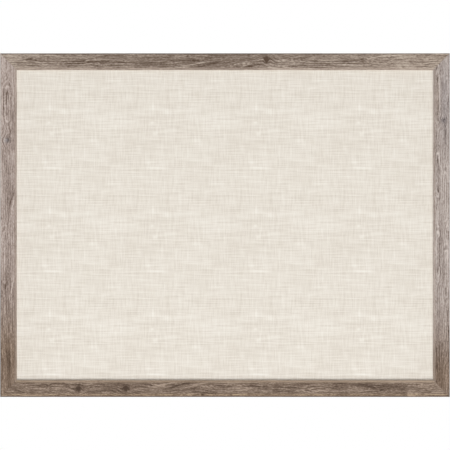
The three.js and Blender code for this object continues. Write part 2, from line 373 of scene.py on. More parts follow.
class PieceTree(NodeGraph):
    """A geometry node tree that builds a piece, with named inputs."""

    def __init__(self, name: str, inputs: Mapping[str, str]) -> None:
        """Make the tree's sockets.

        Args:
            name: The tree's name.
            inputs: Each input's name and the last word of its socket type, such as Float.
        """
        tree = bpy.data.node_groups.new(name, "GeometryNodeTree")
        super().__init__(tree)
        for way in ("INPUT", "OUTPUT"):
            tree.interface.new_socket("Geometry", in_out=way, socket_type="NodeSocketGeometry")
        self.identifiers = {}
        for title, kind in inputs.items():
            socket = tree.interface.new_socket(title, in_out="INPUT", socket_type="NodeSocket" + kind)
            self.identifiers[title] = socket.identifier
        self.entry = self.node("NodeGroupInput")
        self.exit = self.node("NodeGroupOutput")

    def given(self, name: str) -> Field:
        """Read one of the tree's inputs."""
        return self.out(self.entry, name)

    def store(self, geometry: Field, name: str, kind: str, value: Field) -> Field:
        """Store a value on every point.

        Args:
            geometry: The geometry.
            name: The attribute's name.
            kind: FLOAT, or FLOAT_VECTOR.
            value: The value.

        Returns:
            The geometry with the attribute.
        """
        inputs = {"Geometry": geometry, "Name": name, "Value": value}
        kept = self.node("GeometryNodeStoreNamedAttribute", inputs, data_type=kind, domain="POINT")
        return self.out(kept)

    def paint(self, geometry: Field, material: Field, selection: Field | None = None) -> Field:
        """Give faces a material.

        Args:
            geometry: The geometry.
            material: The material.
            selection: Which faces get it, or None for all.

        Returns:
            The painted geometry.
        """
        node = self.node("GeometryNodeSetMaterial", {"Geometry": geometry, "Material": material})
        if selection is not None:
            self.feed(node, "Selection", selection)
        return self.out(node)

    def finish(self, geometry: Field) -> None:
        """End the tree with that geometry."""
        self.feed(self.exit, "Geometry", geometry)

    def finish_real(self, geometry: Field) -> None:
        """End the tree with that geometry made real, in the finish that the tree is given."""
        real = self.out(self.node("GeometryNodeRealizeInstances", {"Geometry": geometry}))
        self.finish(self.paint(real, self.given("Finish")))

    def build(
        self, name: str, start: bpy.types.Mesh, values: Mapping[str, Setting]
    ) -> bpy.types.Mesh:
        """Run the tree on a mesh and keep the result as a plain mesh.

        Args:
            name: The new mesh's name.
            start: The mesh that the tree starts from.
            values: The tree's inputs, by name.

        Returns:
            The plain mesh, with its faces pointing out.
        """
        carrier = linked(name + "_carrier", start)
        modifier = carrier.modifiers.new(name, "NODES")
        modifier.node_group = self.tree
        for title, value in values.items():
            modifier[self.identifiers[title]] = value
        made = evaluated(carrier, name)
        carrier.modifiers.remove(modifier)
        bpy.data.objects.remove(carrier)
        return outward(made)


# Meshes


def linked(name: str, data: bpy.types.ID) -> bpy.types.Object:
    """Make an object of its data, and put it in the scene."""
    made = bpy.data.objects.new(name, data)
    bpy.context.scene.collection.objects.link(made)
    return made


def middle(box: Sequence[Vector]) -> Vector:
    """Give the middle of a box."""
    return (box[0] + box[1]) / 2


def evaluated(piece: bpy.types.Object, name: str) -> bpy.types.Mesh:
    """Take a plain copy of an object's mesh as its modifiers leave it.

    Args:
        piece: The object.
        name: The copy's name.

    Returns:
        The copy.
    """
    graph = bpy.context.evaluated_depsgraph_get()
    made = bpy.data.meshes.new_from_object(piece.evaluated_get(graph), depsgraph=graph)
    made.name = name
    return made


def mesh_of(
    name: str,
    points: Iterable[Sequence[float]],
    faces: Iterable[Sequence[int]] = (),
    edges: Iterable[Sequence[int]] = (),
) -> bpy.types.Mesh:
    """Make a mesh from its points, faces and loose edges.

    Args:
        name: The mesh's name.
        points: The points, in metres.
        faces: The faces' point numbers.
        edges: The loose edges' point numbers.

    Returns:
        The mesh.
    """
    mesh = bpy.data.meshes.new(name)
    mesh.from_pydata([tuple(p) for p in points], list(edges), [tuple(f) for f in faces])
    return mesh


def outward(mesh: bpy.types.Mesh) -> bpy.types.Mesh:
    """Turn every face of a closed mesh outwards."""
    work = bmesh.new()
    work.from_mesh(mesh)
    bmesh.ops.recalc_face_normals(work, faces=work.faces)
    work.to_mesh(mesh)
    work.free()
    return mesh


def loop_mesh(name: str, points: Sequence[Sequence[float]]) -> bpy.types.Mesh:
    """Make a mesh of one closed loop of edges.

    Args:
        name: The mesh's name.
        points: The loop's points, in metres.

    Returns:
        The mesh.
    """
    count = len(points)
    return mesh_of(name, points, edges=[(i, (i + 1) % count) for i in range(count)])


def prism(
    outline: Sequence[Place], low: float, high: float, foot_share: float = 1.0
) -> bpy.types.Mesh:
    """Raise an outline in X and Y from one height to another.

    Args:
        outline: The outline's points, in metres.
        low: The height of its foot.
        high: The height of its top.
        foot_share: The size of the foot as a share of the top.

    Returns:
        The closed mesh.
    """
    count = len(outline)
    points = [(x * foot_share, y * foot_share, low) for x, y in outline]
    points += [(x, y, high) for x, y in outline]
    faces = [tuple(range(count))[::-1], tuple(range(count, 2 * count))]
    faces += [(i, (i + 1) % count, (i + 1) % count + count, i + count) for i in range(count)]
    return outward(mesh_of("prism", points, faces))


def turned(profile: Sequence[Place], sides: int) -> bpy.types.Mesh:
    """Turn a profile of radius and height about Z.

    Args:
        profile: The points from the foot to the top, the first and last of them on the axis.
        sides: How many sides the turning has.

    Returns:
        The closed mesh.
    """
    points = [(0.0, 0.0, profile[0][1]), (0.0, 0.0, profile[-1][1])]
    rings = profile[1:-1]
    for radius, height in rings:
        points += [(x, y, height) for x, y in circle((0.0, 0.0), radius, sides)]
    faces = []
    for ring in range(len(rings)):
        for i in range(sides):
            here = 2 + ring * sides + i
            beside = 2 + ring * sides + (i + 1) % sides
            if ring == 0:
                faces.append((0, beside, here))
            if ring == len(rings) - 1:
                faces.append((1, here, beside))
            else:
                faces.append((here, beside, beside + sides, here + sides))
    return outward(mesh_of("turned", points, faces))


def joined(name: str, meshes: Sequence[bpy.types.Mesh]) -> bpy.types.Mesh:
    """Put several meshes into one, and remove them.

    Args:
        name: The new mesh's name.
        meshes: The meshes.

    Returns:
        The joined mesh, without materials.
    """
    work = bmesh.new()
    for mesh in meshes:
        work.from_mesh(mesh)
        bpy.data.meshes.remove(mesh)
    whole = bpy.data.meshes.new(name)
    work.to_mesh(whole)
    work.free()
    return whole


def moved(mesh: bpy.types.Mesh, matrix: Matrix) -> bpy.types.Mesh:
    """Move a copy of a mesh."""
    copy = mesh.copy()
    copy.transform(matrix)
    return copy


def shaped(
    mesh: bpy.types.Mesh, tool: bpy.types.Mesh, operation: str = "DIFFERENCE"
) -> bpy.types.Mesh:
    """Cut a mesh with a tool, or keep what the two share.

    Args:
        mesh: The closed mesh, which is used up.
        tool: The closed tool, which is used up.
        operation: DIFFERENCE or INTERSECT.

    Returns:
        The new mesh.
    """
    block = linked("block", mesh)
    cutter = linked("cutter", tool)
    modifier = block.modifiers.new("shape", "BOOLEAN")
    modifier.operation = operation
    modifier.object = cutter
    modifier.solver = "EXACT"
    made = evaluated(block, mesh.name)
    for item in (block, cutter):
        bpy.data.objects.remove(item)
    return made


def softened(mesh: bpy.types.Mesh, width: float, sharp_above: float) -> bpy.types.Mesh:
    """Round the sharp edges of a mesh a little.

    Args:
        mesh: The closed mesh.
        width: How far the rounding reaches from an edge, in metres.
        sharp_above: The angle in degrees above which an edge counts as sharp.

    Returns:
        The same mesh.
    """
    weld_share = 0.05
    work = bmesh.new()
    work.from_mesh(mesh)
    bmesh.ops.remove_doubles(work, verts=work.verts, dist=width * weld_share)
    limit = math.radians(sharp_above)
    folds = [edge for edge in work.edges if len(edge.link_faces) == 2]
    sharp = [edge for edge in folds if edge.calc_face_angle() > limit]
    bmesh.ops.bevel(
        work,
        geom=sharp,
        offset=width,
        offset_type="OFFSET",
        segments=2,
        profile=0.5,
        affect="EDGES",
        clamp_overlap=True,
    )
    bmesh.ops.recalc_face_normals(work, faces=work.faces)
    work.to_mesh(mesh)
    work.free()
    return mesh


def arc(centre: Place, radius: float, start: float, end: float, steps: int) -> list[Place]:
    """Place points along an arc.

    Args:
        centre: The arc's centre.
        radius: Its radius.
        start: The angle of its first point, in degrees.
        end: The angle of its last point, in degrees.
        steps: How many steps there are between them.

    Returns:
        The points, both ends included.
    """
    points = []
    for i in range(steps + 1):
        angle = math.radians(start + (end - start) * i / steps)
        points.append((centre[0] + radius * math.cos(angle), centre[1] + radius * math.sin(angle)))
    return points


def circle(centre: Place, radius: float, sides: int) -> list[Place]:
    """Place points round a circle, each of them once."""
    return arc(centre, radius, 0.0, 360.0, sides)[:-1]


def dome(top_radius: float, radius: float, low: float, high: float, steps: int) -> list[Place]:
    """Place points along a dome's profile, a quarter of an ellipse from its rim to its top.

    Args:
        top_radius: The radius at the top.
        radius: The radius at the rim.
        low: The rim's height.
        high: The top's height.
        steps: How many steps there are between them.

    Returns:
        Each point's radius and height, both ends included.
    """
    quarter = arc((0.0, 0.0), 1.0, 0.0, 90.0, steps)
    return [(top_radius + (radius - top_radius) * x, low + (high - low) * y) for x, y in quarter]


def refined(points: Sequence[Place], spacing: Sequence[float]) -> list[Place]:
    """Divide each side of a closed outline into short steps.

    Args:
        points: The outline's corners.
        spacing: The longest step on the side that leaves each corner.

    Returns:
        The finer outline.
    """
    rounding = 1e-6
    fine = []
    for i, (x, y) in enumerate(points):
        next_x, next_y = points[(i + 1) % len(points)]
        steps = max(1, math.ceil(math.dist((x, y), (next_x, next_y)) / spacing[i] - rounding))
        for step in range(steps):
            share = step / steps
            fine.append((x + (next_x - x) * share, y + (next_y - y) * share))
    return fine


def show(
    name: str,
    mesh: bpy.types.Mesh,
    replaces: Sequence[str],
    material: bpy.types.Material | None = None,
    body: str = MAIN_BODY,
    sharp_above: float = 35.0,
) -> bpy.types.Object:
    """Make a mesh one of the board's pieces.

    Args:
        name: The piece's name.
        mesh: Its mesh, already in place.
        replaces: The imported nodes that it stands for.
        material: Its finish, where the mesh has none yet.
        body: The body that it rides on.
        sharp_above: The angle in degrees above which an edge stays sharp.

    Returns:
        The piece.
    """
    piece = linked(name, mesh)
    if material is not None:
        mesh.materials.clear()
        mesh.materials.append(material)
    mesh.shade_smooth()
    mesh.set_sharp_from_angle(angle=math.radians(sharp_above))
    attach(piece, body)
    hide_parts(*replaces)
    LOG.info("%s: %d faces on %s", name, len(mesh.polygons), body)
    return piece


def dress(node: str, material: bpy.types.Material) -> None:
    """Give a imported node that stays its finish.

    Args:
        node: The node's name.
        material: The finish.
    """
    for material_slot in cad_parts[node].material_slots:
        material_slot.material = material
    LOG.info("%s: dressed", node)


# The board


@dataclass(frozen=True)
class PhotoEdges:
    """Where the board's outer edges lie in the photograph, in its pixels."""

    left: float = 0.0
    right: float = 449.87
    top: float = 53.23
    bottom: float = 397.03
    side: float = 450.0

    @property
    def centre(self) -> tuple[float, float]:
        """Give the column and row of the board's middle."""
        return (self.left + self.right) / 2, (self.top + self.bottom) / 2


@dataclass
class Board:
    """The board's main planes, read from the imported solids."""

    photo: PhotoEdges = field(default_factory=PhotoEdges)

    def __post_init__(self) -> None:
        """Read the boxes of the pieces that set the sizes of the rest."""
        self.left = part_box("left_stile")[0].x
        self.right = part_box("right_stile")[1].x
        self.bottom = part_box("bottom_rail")[0].z
        self.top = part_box("top_rail")[1].z
        rail_low, rail_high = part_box("top_rail")
        self.front = rail_low.y
        self.back = rail_high.y
        self.face = rail_high.z - rail_low.z
        self.linen_low, self.linen_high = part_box("linen_cover")
        self.pixel = self.width / (self.photo.right - self.photo.left)

    @property
    def width(self) -> float:
        """Give the board's width."""
        return self.right - self.left

    @property
    def height(self) -> float:
        """Give the board's height."""
        return self.top - self.bottom

    @property
    def centre(self) -> Vector:
        """Give the middle of the moulding's back plane."""
        return Vector(((self.left + self.right) / 2, self.back, (self.bottom + self.top) / 2))

    def at_pixel(self, column: float, row: float) -> Vector:
        """Turn a pixel of the photograph into a place on the board's front.

        Args:
            column: The pixel's column.
            row: The pixel's row.

        Returns:
            The place, in metres.
        """
        middle_column, middle_row = self.photo.centre
        right = self.centre.x + (column - middle_column) * self.pixel
        up = self.centre.z - (row - middle_row) * self.pixel
        return Vector((right, self.front, up))


class Side(Enum):
    """The board's four sides, by the quarter turns that bring the top to each."""

    TOP = 0
    RIGHT = 1
    BOTTOM = 2
    LEFT = 3

    @property
    def level(self) -> bool:
        """Tell whether the side is a rail and not a stile."""
        return self.value % 2 == 0

    @property
    def node(self) -> str:
        """Give the name of the side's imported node."""
        return self.name.lower() + ("_rail" if self.level else "_stile")

    @property
    def corner(self) -> str:
        """Name the corner at the side's first end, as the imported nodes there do."""
        before = Side((self.value - 1) % len(Side))
        rail, stile = (self, before) if self.level else (before, self)
        return f"{rail.name}_{stile.name}".lower()

    def length(self, board: Board) -> float:
        """Give the side's outer length."""
        return board.width if self.level else board.height

    def matrix(self, board: Board) -> Matrix:
        """Give what takes the side's own frame to the board's.

        Args:
            board: The board.

        Returns:
            The matrix.
        """
        reach = (board.height if self.level else board.width) / 2
        turn = Matrix.Rotation(math.radians(90 * self.value), 4, "Y")
        return Matrix.Translation(board.centre) @ turn @ Matrix.Translation((0, 0, reach)) @ HANGING

    def local_box(self, board: Board, node: str) -> tuple[Vector, Vector]:
        """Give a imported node's box in the side's own frame.

        Args:
            board: The board.
            node: The node's name.

        Returns:
            The box's lowest and highest corners.
        """
        to_side = self.matrix(board).inverted()
        first, second = (to_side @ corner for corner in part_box(node))
        return Vector(map(min, first, second)), Vector(map(max, first, second))


# Finishes


@dataclass(frozen=True)
class Finish:
    """A finish that a piece can have."""

    name: str

    def lay(self, surface: Surface) -> None:
        """Set up the shader of an empty material."""
        raise NotImplementedError

    def build(self) -> bpy.types.Material:
        """Make the material."""
        surface = Surface(self.name)
        self.lay(surface)
        return surface.material


def wood_streaks(graph: NodeGraph, along: Field, across: Field, rings: Field, seed: Field) -> Field:
    """Work out the streaks of weathered wood, alike in a material and in a piece.

    Args:
        graph: The tree that they go into.
        along: The place along the grain, in millimetres.
        across: The place across the grain, in millimetres.
        rings: The place across the growth rings, in millimetres.
        seed: What makes one length of wood unlike another.

    Returns:
        The tone of the streaks, about 0 and mostly within a half of it.
    """
    year_width = 3.1
    year_sway = 0.8
    year_fray = 0.45
    late_wood_power = 3.0
    late_wood_share = 0.52
    figure_share = 0.5
    streak_share = 0.95
    mean_shade = 0.09
    place = (along, across, seed)
    figure = graph.grain(place, length=60.0, width=7.0)
    streak = graph.grain(place, length=13.0, width=1.9, shift=3.7, roughness=0.65)
    swell = graph.remap(graph.grain(place, length=40.0, width=8.0, shift=31.0), -0.15, 0.1, 0.3, 1.0)
    year = graph.number("FRACT", rings / year_width + figure * year_sway + streak * year_fray)
    late_wood = graph.number("POWER", year, late_wood_power) * swell
    return figure * figure_share + streak * streak_share + mean_shade - late_wood * late_wood_share


@dataclass(frozen=True)
class WeatheredWood(Finish):
    """A grey-brown wood-grain facing, darker in its grooves."""

    dark: Screen
    middle: Screen
    light: Screen
    bevel: Screen
    warm_dark: Screen = (78, 63, 51)
    warm_middle: Screen = (122, 103, 88)
    warm_light: Screen = (170, 151, 134)
    cool_dark: Screen = (92, 85, 85)
    cool_middle: Screen = (148, 140, 139)
    cool_light: Screen = (194, 186, 183)
    contrast: float = 1.0
    streak_share: float = 1.25
    fibre_share: float = 1.5
    hair_share: float = 0.55
    pore_share: float = 0.22
    mean_level: float = 0.53
    bevel_share: float = 0.35
    bevel_lift: float = 0.14
    relief: float = 0.14
    roughness: float = 0.66
    shine: float = 0.12

    def lay(self, surface: Surface) -> None:
        """Set up the shader, which reads the grain, tone, warmth and bevel on the moulding.

        Args:
            surface: The empty material.
        """
        place = surface.parts(surface.attribute("grain", "Vector"))
        along, across, seed = place
        streaks = wood_streaks(surface, along, across, surface.attribute("rings"), seed)
        fibres = surface.grain(place, 3.6, 1.15, shift=11.0, detail=3.0, roughness=0.65)
        hairs = surface.grain(place, 12.0, 0.32, shift=17.0, roughness=0.6)
        pores = surface.grain(place, 4.5, 0.26, shift=23.0, detail=1.0)
        pores = surface.remap(pores, 0.08, 0.18, smooth=True)
        grain = streaks * self.streak_share + fibres * self.fibre_share
        grain = grain + hairs * self.hair_share - pores * self.pore_share
        bevel = surface.attribute("bevel")
        tone = surface.attribute("tone")
        warmth = surface.attribute("warmth")
        level = grain * self.contrast + tone + bevel * self.bevel_lift + self.mean_level
        plain = surface.ramp(level, self.dark, self.middle, self.light)
        warm = surface.ramp(level, self.warm_dark, self.warm_middle, self.warm_light)
        cool = surface.ramp(level, self.cool_dark, self.cool_middle, self.cool_light)
        colour = surface.blend(warmth, plain, warm)
        colour = surface.blend(warmth * -1.0, colour, cool)
        colour = surface.blend(bevel * self.bevel_share, colour, linear(*self.bevel))
        height = streaks * 0.4 + fibres * 0.4 + hairs * 0.3 - pores * 0.4
        rough = surface.remap(level, 0.0, 1.0, self.roughness + 0.12, self.roughness - 0.08)
        surface.shade(Base_Color=colour, Roughness=rough, Specular_IOR_Level=self.shine)
        surface.shade(Normal=surface.bump(height, self.relief * MM))


@dataclass(frozen=True)
class Fibreboard(Finish):
    """Raw pressed fibre, with short fibres and darker flecks in it."""

    dark: Screen
    middle: Screen
    light: Screen
    fibre_length: float = 1.6
    fibre_share: float = 1.3
    mottle_size: float = 40.0
    mottle_share: float = 0.35
    fleck_share: float = 0.35
    roughness: float = 0.85
    relief: float = 0.05
    screen_pitch: float | None = None
    dimple_share: float = 0.25
    dimple_relief: float = 2.0

    def lay(self, surface: Surface) -> None:
        """Set up the shader, with the print of a wire screen where it has a pitch.

        Args:
            surface: The empty material.
        """
        mottle = surface.mottle(self.mottle_size, 4.0)
        fibres = surface.mottle(self.fibre_length, 4.0, 0.7)
        level = fibres * self.fibre_share + mottle * self.mottle_share + 0.5
        colour = surface.ramp(level, self.dark, self.middle, self.light)
        flecks = surface.remap(fibres, 0.14, 0.22, smooth=True) * self.fleck_share
        colour = surface.blend(flecks, colour, linear(*self.dark))
        height = fibres
        if self.screen_pitch is not None:
            x, _, z = surface.place(self.screen_pitch * MM / math.tau)
            crossed = surface.number("SINE", z) * surface.number("SINE", x)
            dimples = surface.remap(surface.number("ABSOLUTE", crossed), 0.0, 0.9, smooth=True)
            height = fibres + dimples * self.dimple_relief
            colour = surface.blend(dimples * self.dimple_share, colour, linear(*self.dark))
        rough = surface.remap(fibres, -0.2, 0.2, self.roughness - 0.06, self.roughness + 0.06)
        surface.shade(Base_Color=colour, Roughness=rough, Normal=surface.bump(height, self.relief * MM))


@dataclass(frozen=True)
class GroundCork(Finish):
    """Cork granules pressed into a sheet."""

    dark: Screen = (104, 74, 44)
    middle: Screen = (176, 138, 92)
    light: Screen = (206, 172, 126)
    granule: float = 2.2
    seam_width_share: float = 0.08
    seam_share: float = 0.7
    roughness: float = 0.9
    relief: float = 0.15

    def lay(self, surface: Surface) -> None:
        """Set up the shader, with a dark seam round each granule.

        Args:
            surface: The empty material.
        """
        inputs = {"Vector": surface.vector(*surface.place(self.granule * MM)), "Scale": 1.0}
        cells = surface.node("ShaderNodeTexVoronoi", inputs, feature="F1")
        edges = surface.node("ShaderNodeTexVoronoi", inputs, feature="DISTANCE_TO_EDGE")
        tint, _, _ = surface.parts(surface.out(cells, "Color"))
        from_edge = surface.out(edges, "Distance")
        seam = surface.remap(from_edge, 0.0, self.seam_width_share, 1.0, 0.0, smooth=True)
        colour = surface.ramp(tint, self.dark, self.middle, self.light, self.middle)
        colour = surface.blend(seam * self.seam_share, colour, linear(*self.dark))
        normal = surface.bump(1.0 - seam, self.relief * MM)
        surface.shade(Base_Color=colour, Roughness=self.roughness, Normal=normal)


@dataclass(frozen=True)
class Slub:
    """A thick place in the linen's yarn, by its pixel in the photograph's first repeat.

    The half sizes are in pixels too. Tone is how much lighter it is than the rest.
    """

    photo_x: float
    photo_y: float
    half_width: float
    half_height: float
    tone: float


@dataclass(frozen=True)
class SlubbedLinen(Finish):
    """A natural linen, plain-woven in uneven yarn, whose pattern repeats."""

    board: Board
    shade: Screen = (202, 192, 178)
    middle: Screen = (225, 218, 207)
    bright: Screen = (241, 237, 229)
    repeat: float = 148.4
    yarns_per_repeat: int = 240
    streaks_per_repeat: float = 420.0
    weft_runs_per_repeat: float = 5.0
    warp_runs_per_repeat: float = 9.0
    weft_share: float = 0.78
    warp_share: float = 0.62
    cloud_share: float = 0.10
    streak_share: float = 0.85
    thread_length: float = 12.0
    thread_width: float = 0.9
    yarn_share: float = 0.45
    # How strong the weave's painted shade and highlight are
    weave_shade_share: float = 0.30
    roughness: float = 0.92
    sheen: float = 0.04
    relief: float = 0.10
    slubs: tuple[Slub, ...] = (
        Slub(63, 111.5, 3.6, 2.4, 0.20),
        Slub(49.5, 106, 1.2, 4.5, 0.28),
        Slub(49, 122.5, 1.6, 1.4, 0.42),
        Slub(51.5, 134, 2.4, 1.8, 0.36),
        Slub(45.5, 162.5, 4.5, 1.4, 0.28),
        Slub(53, 168, 10, 0.9, 0.60),
        Slub(92, 140.5, 4, 2, 0.14),
        Slub(60, 84, 7, 0.9, 0.22),
        Slub(76, 107, 2, 3, 0.16),
        Slub(108, 117.5, 7, 0.9, 0.20),
        Slub(73, 149, 1, 5, 0.18),
    )

    def streaks(
        self, surface: Surface, x: Field, z: Field, per_repeat_x: float, per_repeat_z: float
    ) -> Field:
        """Work out noise that repeats both ways, on the cloth's plane wrapped into two circles.

        Args:
            surface: The material's tree.
            x: The place across the cloth, in repeats.
            z: The place up the cloth, in repeats.
            per_repeat_x: How many features of the noise lie across a repeat.
            per_repeat_z: How many features of the noise lie up a repeat.

        Returns:
            The noise.
        """
        wrapped = []
        for place, features in ((x, per_repeat_x), (z, per_repeat_z)):
            turn = place * math.tau
            radius = features / math.tau
            wrapped += [surface.number(wave, turn) * radius for wave in ("COSINE", "SINE")]
        return surface.noise(surface.vector(*wrapped[:3]), 0.0, 0.5, wrapped[3])

    def slub(self, surface: Surface, x: Field, z: Field, slub: Slub) -> Field:
        """Work out how much of a slub lies at a place, in every repeat of it.

        Args:
            surface: The material's tree.
            x: The place across the cloth, in millimetres.
            z: The place up the cloth, in millimetres.
            slub: The slub.

        Returns:
            The share, 1 in the slub's middle.
        """
        centre = self.board.at_pixel(slub.photo_x, slub.photo_y) - self.board.centre
        pixels = self.repeat * MM / self.board.pixel
        repeats_x = surface.number("WRAP", x / self.repeat - centre.x / MM / self.repeat, 0.5, -0.5)
        repeats_z = surface.number("WRAP", z / self.repeat - centre.z / MM / self.repeat, 0.5, -0.5)
        far_x = repeats_x * (pixels / slub.half_width)
        far_z = repeats_z * (pixels / slub.half_height)
        return surface.bell(far_x * far_x + far_z * far_z)

    def lay(self, surface: Surface) -> None:
        """Set up the shader, which reads the cloth's own plane from its mesh.

        Args:
            surface: The empty material.
        """
        cloth_x, cloth_z, _ = surface.parts(surface.attribute("cloth", "Vector"))
        x = cloth_x / MM
        z = cloth_z / MM
        pitch = self.repeat / self.yarns_per_repeat
        pair_x, pair_z = (
            surface.number("FLOOR", place / (2 * pitch)) * (2 / self.yarns_per_repeat) for place in (x, z)
        )
        weft_runs = self.weft_runs_per_repeat
        long_weft = self.streaks(surface, pair_x, pair_z, weft_runs, self.streaks_per_repeat)
        long_warp = self.streaks(
            surface, pair_x, pair_z, self.streaks_per_repeat, self.warp_runs_per_repeat
        )
        clouds = self.streaks(surface, pair_x, pair_z, weft_runs, weft_runs)
        tone = long_weft * self.weft_share + long_warp * self.warp_share + clouds * self.cloud_share
        for slub in self.slubs:
            tone = tone + self.slub(surface, x, z, slub) * slub.tone
        weft = surface.noise(surface.vector(x / self.thread_length, z / self.thread_width, 5.0))
        warp = surface.noise(surface.vector(x / self.thread_width, z / self.thread_length, 9.0))
        wave_x = surface.number("SINE", (x + warp * 0.5) * (math.pi / pitch))
        wave_z = surface.number("SINE", (z + weft * 0.5) * (math.pi / pitch))
        over = surface.remap(wave_x * wave_z, -0.25, 0.25, smooth=True)
        warp_yarn = surface.number("ABSOLUTE", wave_x) * over
        weft_yarn = surface.number("ABSOLUTE", wave_z) * (1.0 - over)
        weave = surface.number("MAXIMUM", warp_yarn, weft_yarn)
        yarn = weft * 0.9 * (1.0 - over) + warp * 0.9 * over
        # The weave adds painted shade between the yarns and a painted highlight on their crowns
        weave_level = (weave - 0.7) * self.weave_shade_share
        level = tone * self.streak_share + yarn * self.yarn_share + weave_level + 0.5
        colour = surface.ramp(level, self.shade, self.middle, self.bright)
        normal = surface.bump(weave + yarn * 0.6 + tone * 0.3, self.relief * MM)
        surface.shade(Base_Color=colour, Roughness=self.roughness, Normal=normal)
        surface.shade(Sheen_Weight=self.sheen, Sheen_Roughness=0.5)


@dataclass(frozen=True)
class ZincPlate(Finish):
    """Bright zinc-plated steel with a faint rolled grain."""

    dull: Screen = (150, 152, 156)
    bright: Screen = (200, 202, 206)
    roughness: float = 0.36
    rolled_grain: tuple[float, float, float] = (0.12, 0.5, 5.0)
    bloom_size: float = 2.5
    relief: float = 0.01

    def lay(self, surface: Surface) -> None:
        """Set up the shader, a little cloudy and a little streaked by the rolls.

        Args:
            surface: The empty material.
        """
        stretched = [place / size for place, size in zip(surface.place(), self.rolled_grain)]
        rolling = surface.noise(surface.vector(*stretched))
        bloom = surface.mottle(self.bloom_size, 3.0)
        colour = surface.ramp(bloom * 1.4 + 0.5, self.dull, self.bright)
        rough = rolling * 0.25 + bloom * 0.25 + self.roughness
        normal = surface.bump(rolling, self.relief * MM)
        surface.shade(Base_Color=colour, Metallic=1.0, Roughness=rough, Normal=normal)


@dataclass(frozen=True)
class ClearRubber(Finish):
    """Milky soft plastic, a little dusty."""

    dusty: Screen = (196, 198, 200)
    clear: Screen = (224, 227, 230)
    dust_size: float = 1.5
    relief: float = 0.02
    glow_share: float = 0.3
    glow_depth: float = 2.0

    def lay(self, surface: Surface) -> None:
        """Set up the shader, which lets some light through.

        Args:
            surface: The empty material.
        """
        dust = surface.mottle(self.dust_size, 3.0)
        colour = surface.ramp(dust * 1.2 + 0.5, self.dusty, self.clear)
        rough = surface.remap(dust, -0.2, 0.2, 0.28, 0.42)
        surface.shade(Base_Color=colour, Roughness=rough, Normal=surface.bump(dust, self.relief * MM))
        surface.shade(Subsurface_Weight=self.glow_share, Subsurface_Scale=self.glow_depth * MM)


# Studio


@dataclass
class Studio:
    """A camera square to the board, soft light, and a plain pale floor."""

    board: Board
    lens: float = 400.0
    sensor: float = 36.0
    ambient: float = 0.22
    key_level: float = 0.625
    key_softness: float = 3.0
    key_turn: float = 8.0
    key_dip: float = 31.0
    fill_level: float = 0.27
    fill_softness: float = 24.0
    side_level: float = 0.32
    back_level: float = 0.6
    floor_drop: float = 800.0
    floor_radius: float = 1150.0
    floor_sides: int = 96
    floor_colour: Screen = (236, 236, 236)

    def camera(self) -> None:
        """Set the camera so that the board's edges land on the photograph's pixels."""
        board = self.board
        data = bpy.data.cameras.new("camera")
        data.lens = self.lens
        data.sensor_width = self.sensor
        distance = board.photo.side * board.pixel * self.lens / self.sensor
        data.clip_start = distance / 100
        data.clip_end = distance * 10
        half = board.photo.side / 2
        camera = linked("camera", data)
        camera.location = board.at_pixel(half, half) - Vector((0, distance, 0))
        camera.rotation_euler = (math.radians(90), 0, 0)
        bpy.context.scene.camera = camera

    def sun(self, name: str, toward: Vector, level: float, softness: float) -> None:
        """Add a broad lamp.

        Args:
            name: The lamp's name.
            toward: The direction from the board to the lamp.
            level: How bright it makes a white surface that faces it, where 1 is white.
            softness: The lamp's width as seen from the board, in degrees.
        """
        data = bpy.data.lights.new(name, "SUN")
        data.energy = level * math.pi
        data.angle = math.radians(softness)
        linked(name, data).rotation_euler = toward.to_track_quat("Z", "Y").to_euler()

    def world(self) -> None:
        """Light the board evenly from all round, in front of a white background."""
        world = bpy.data.worlds.new("studio")
        bpy.context.scene.world = world
        world.use_nodes = True
        world.node_tree.nodes.clear()
        graph = NodeGraph(world.node_tree)
        rays = graph.node("ShaderNodeLightPath")
        seen = graph.out(rays, "Is Camera Ray") + graph.out(rays, "Is Glossy Ray")
        seen = graph.number("ADD", seen, graph.out(rays, "Is Transmission Ray"), clamp=True)
        strength = graph.remap(seen, 0.0, 1.0, self.ambient, 1.0)
        light = graph.node("ShaderNodeBackground", {"Color": (1, 1, 1, 1), "Strength": strength})
        graph.node("ShaderNodeOutputWorld", {"Surface": light.outputs[0]})

    def floor(self) -> None:
        """Lay a round pale floor under the board, which is clear from below."""
        centre = self.board.centre
        rim = circle((centre.x, 0.0), self.floor_radius * MM, self.floor_sides)
        level = self.board.bottom - self.floor_drop * MM
        mesh = mesh_of("floor", [(x, y, level) for x, y in rim], [range(self.floor_sides)])
        floor = linked("floor", mesh)
        surface = Surface("floor")
        surface.shade(Base_Color=linear(*self.floor_colour), Roughness=0.9)
        clear = surface.node("ShaderNodeBsdfTransparent")
        under = surface.out(surface.node("ShaderNodeNewGeometry"), "Backfacing")
        mixed = surface.node("ShaderNodeMixShader", {"Fac": under})
        surface.feed(mixed, 1, surface.shader.outputs[0])
        surface.feed(mixed, 2, clear.outputs[0])
        surface.feed(surface.output, "Surface", mixed.outputs[0])
        mesh.materials.append(surface.material)

    def build(self) -> None:
        """Set up the whole studio."""
        bpy.context.scene.view_settings.view_transform = "Standard"
        self.camera()
        self.world()
        aside = math.tan(math.radians(self.key_turn))
        below = math.tan(math.radians(self.key_dip))
        self.sun("key", Vector((aside, -1, -below)), self.key_level, self.key_softness)
        self.sun("fill", Vector((0, -1, 0)), self.fill_level, self.fill_softness)
        self.sun("left", Vector((-1, 0, 0)), self.side_level, self.fill_softness)
        self.sun("right", Vector((1, 0, 0)), self.side_level, self.fill_softness)
        self.sun("top", Vector((0, 0, 1)), self.side_level, self.fill_softness)
        self.sun("back", Vector((-0.4, 1, 0.6)), self.back_level, self.fill_softness)
        self.floor()


# Moulding


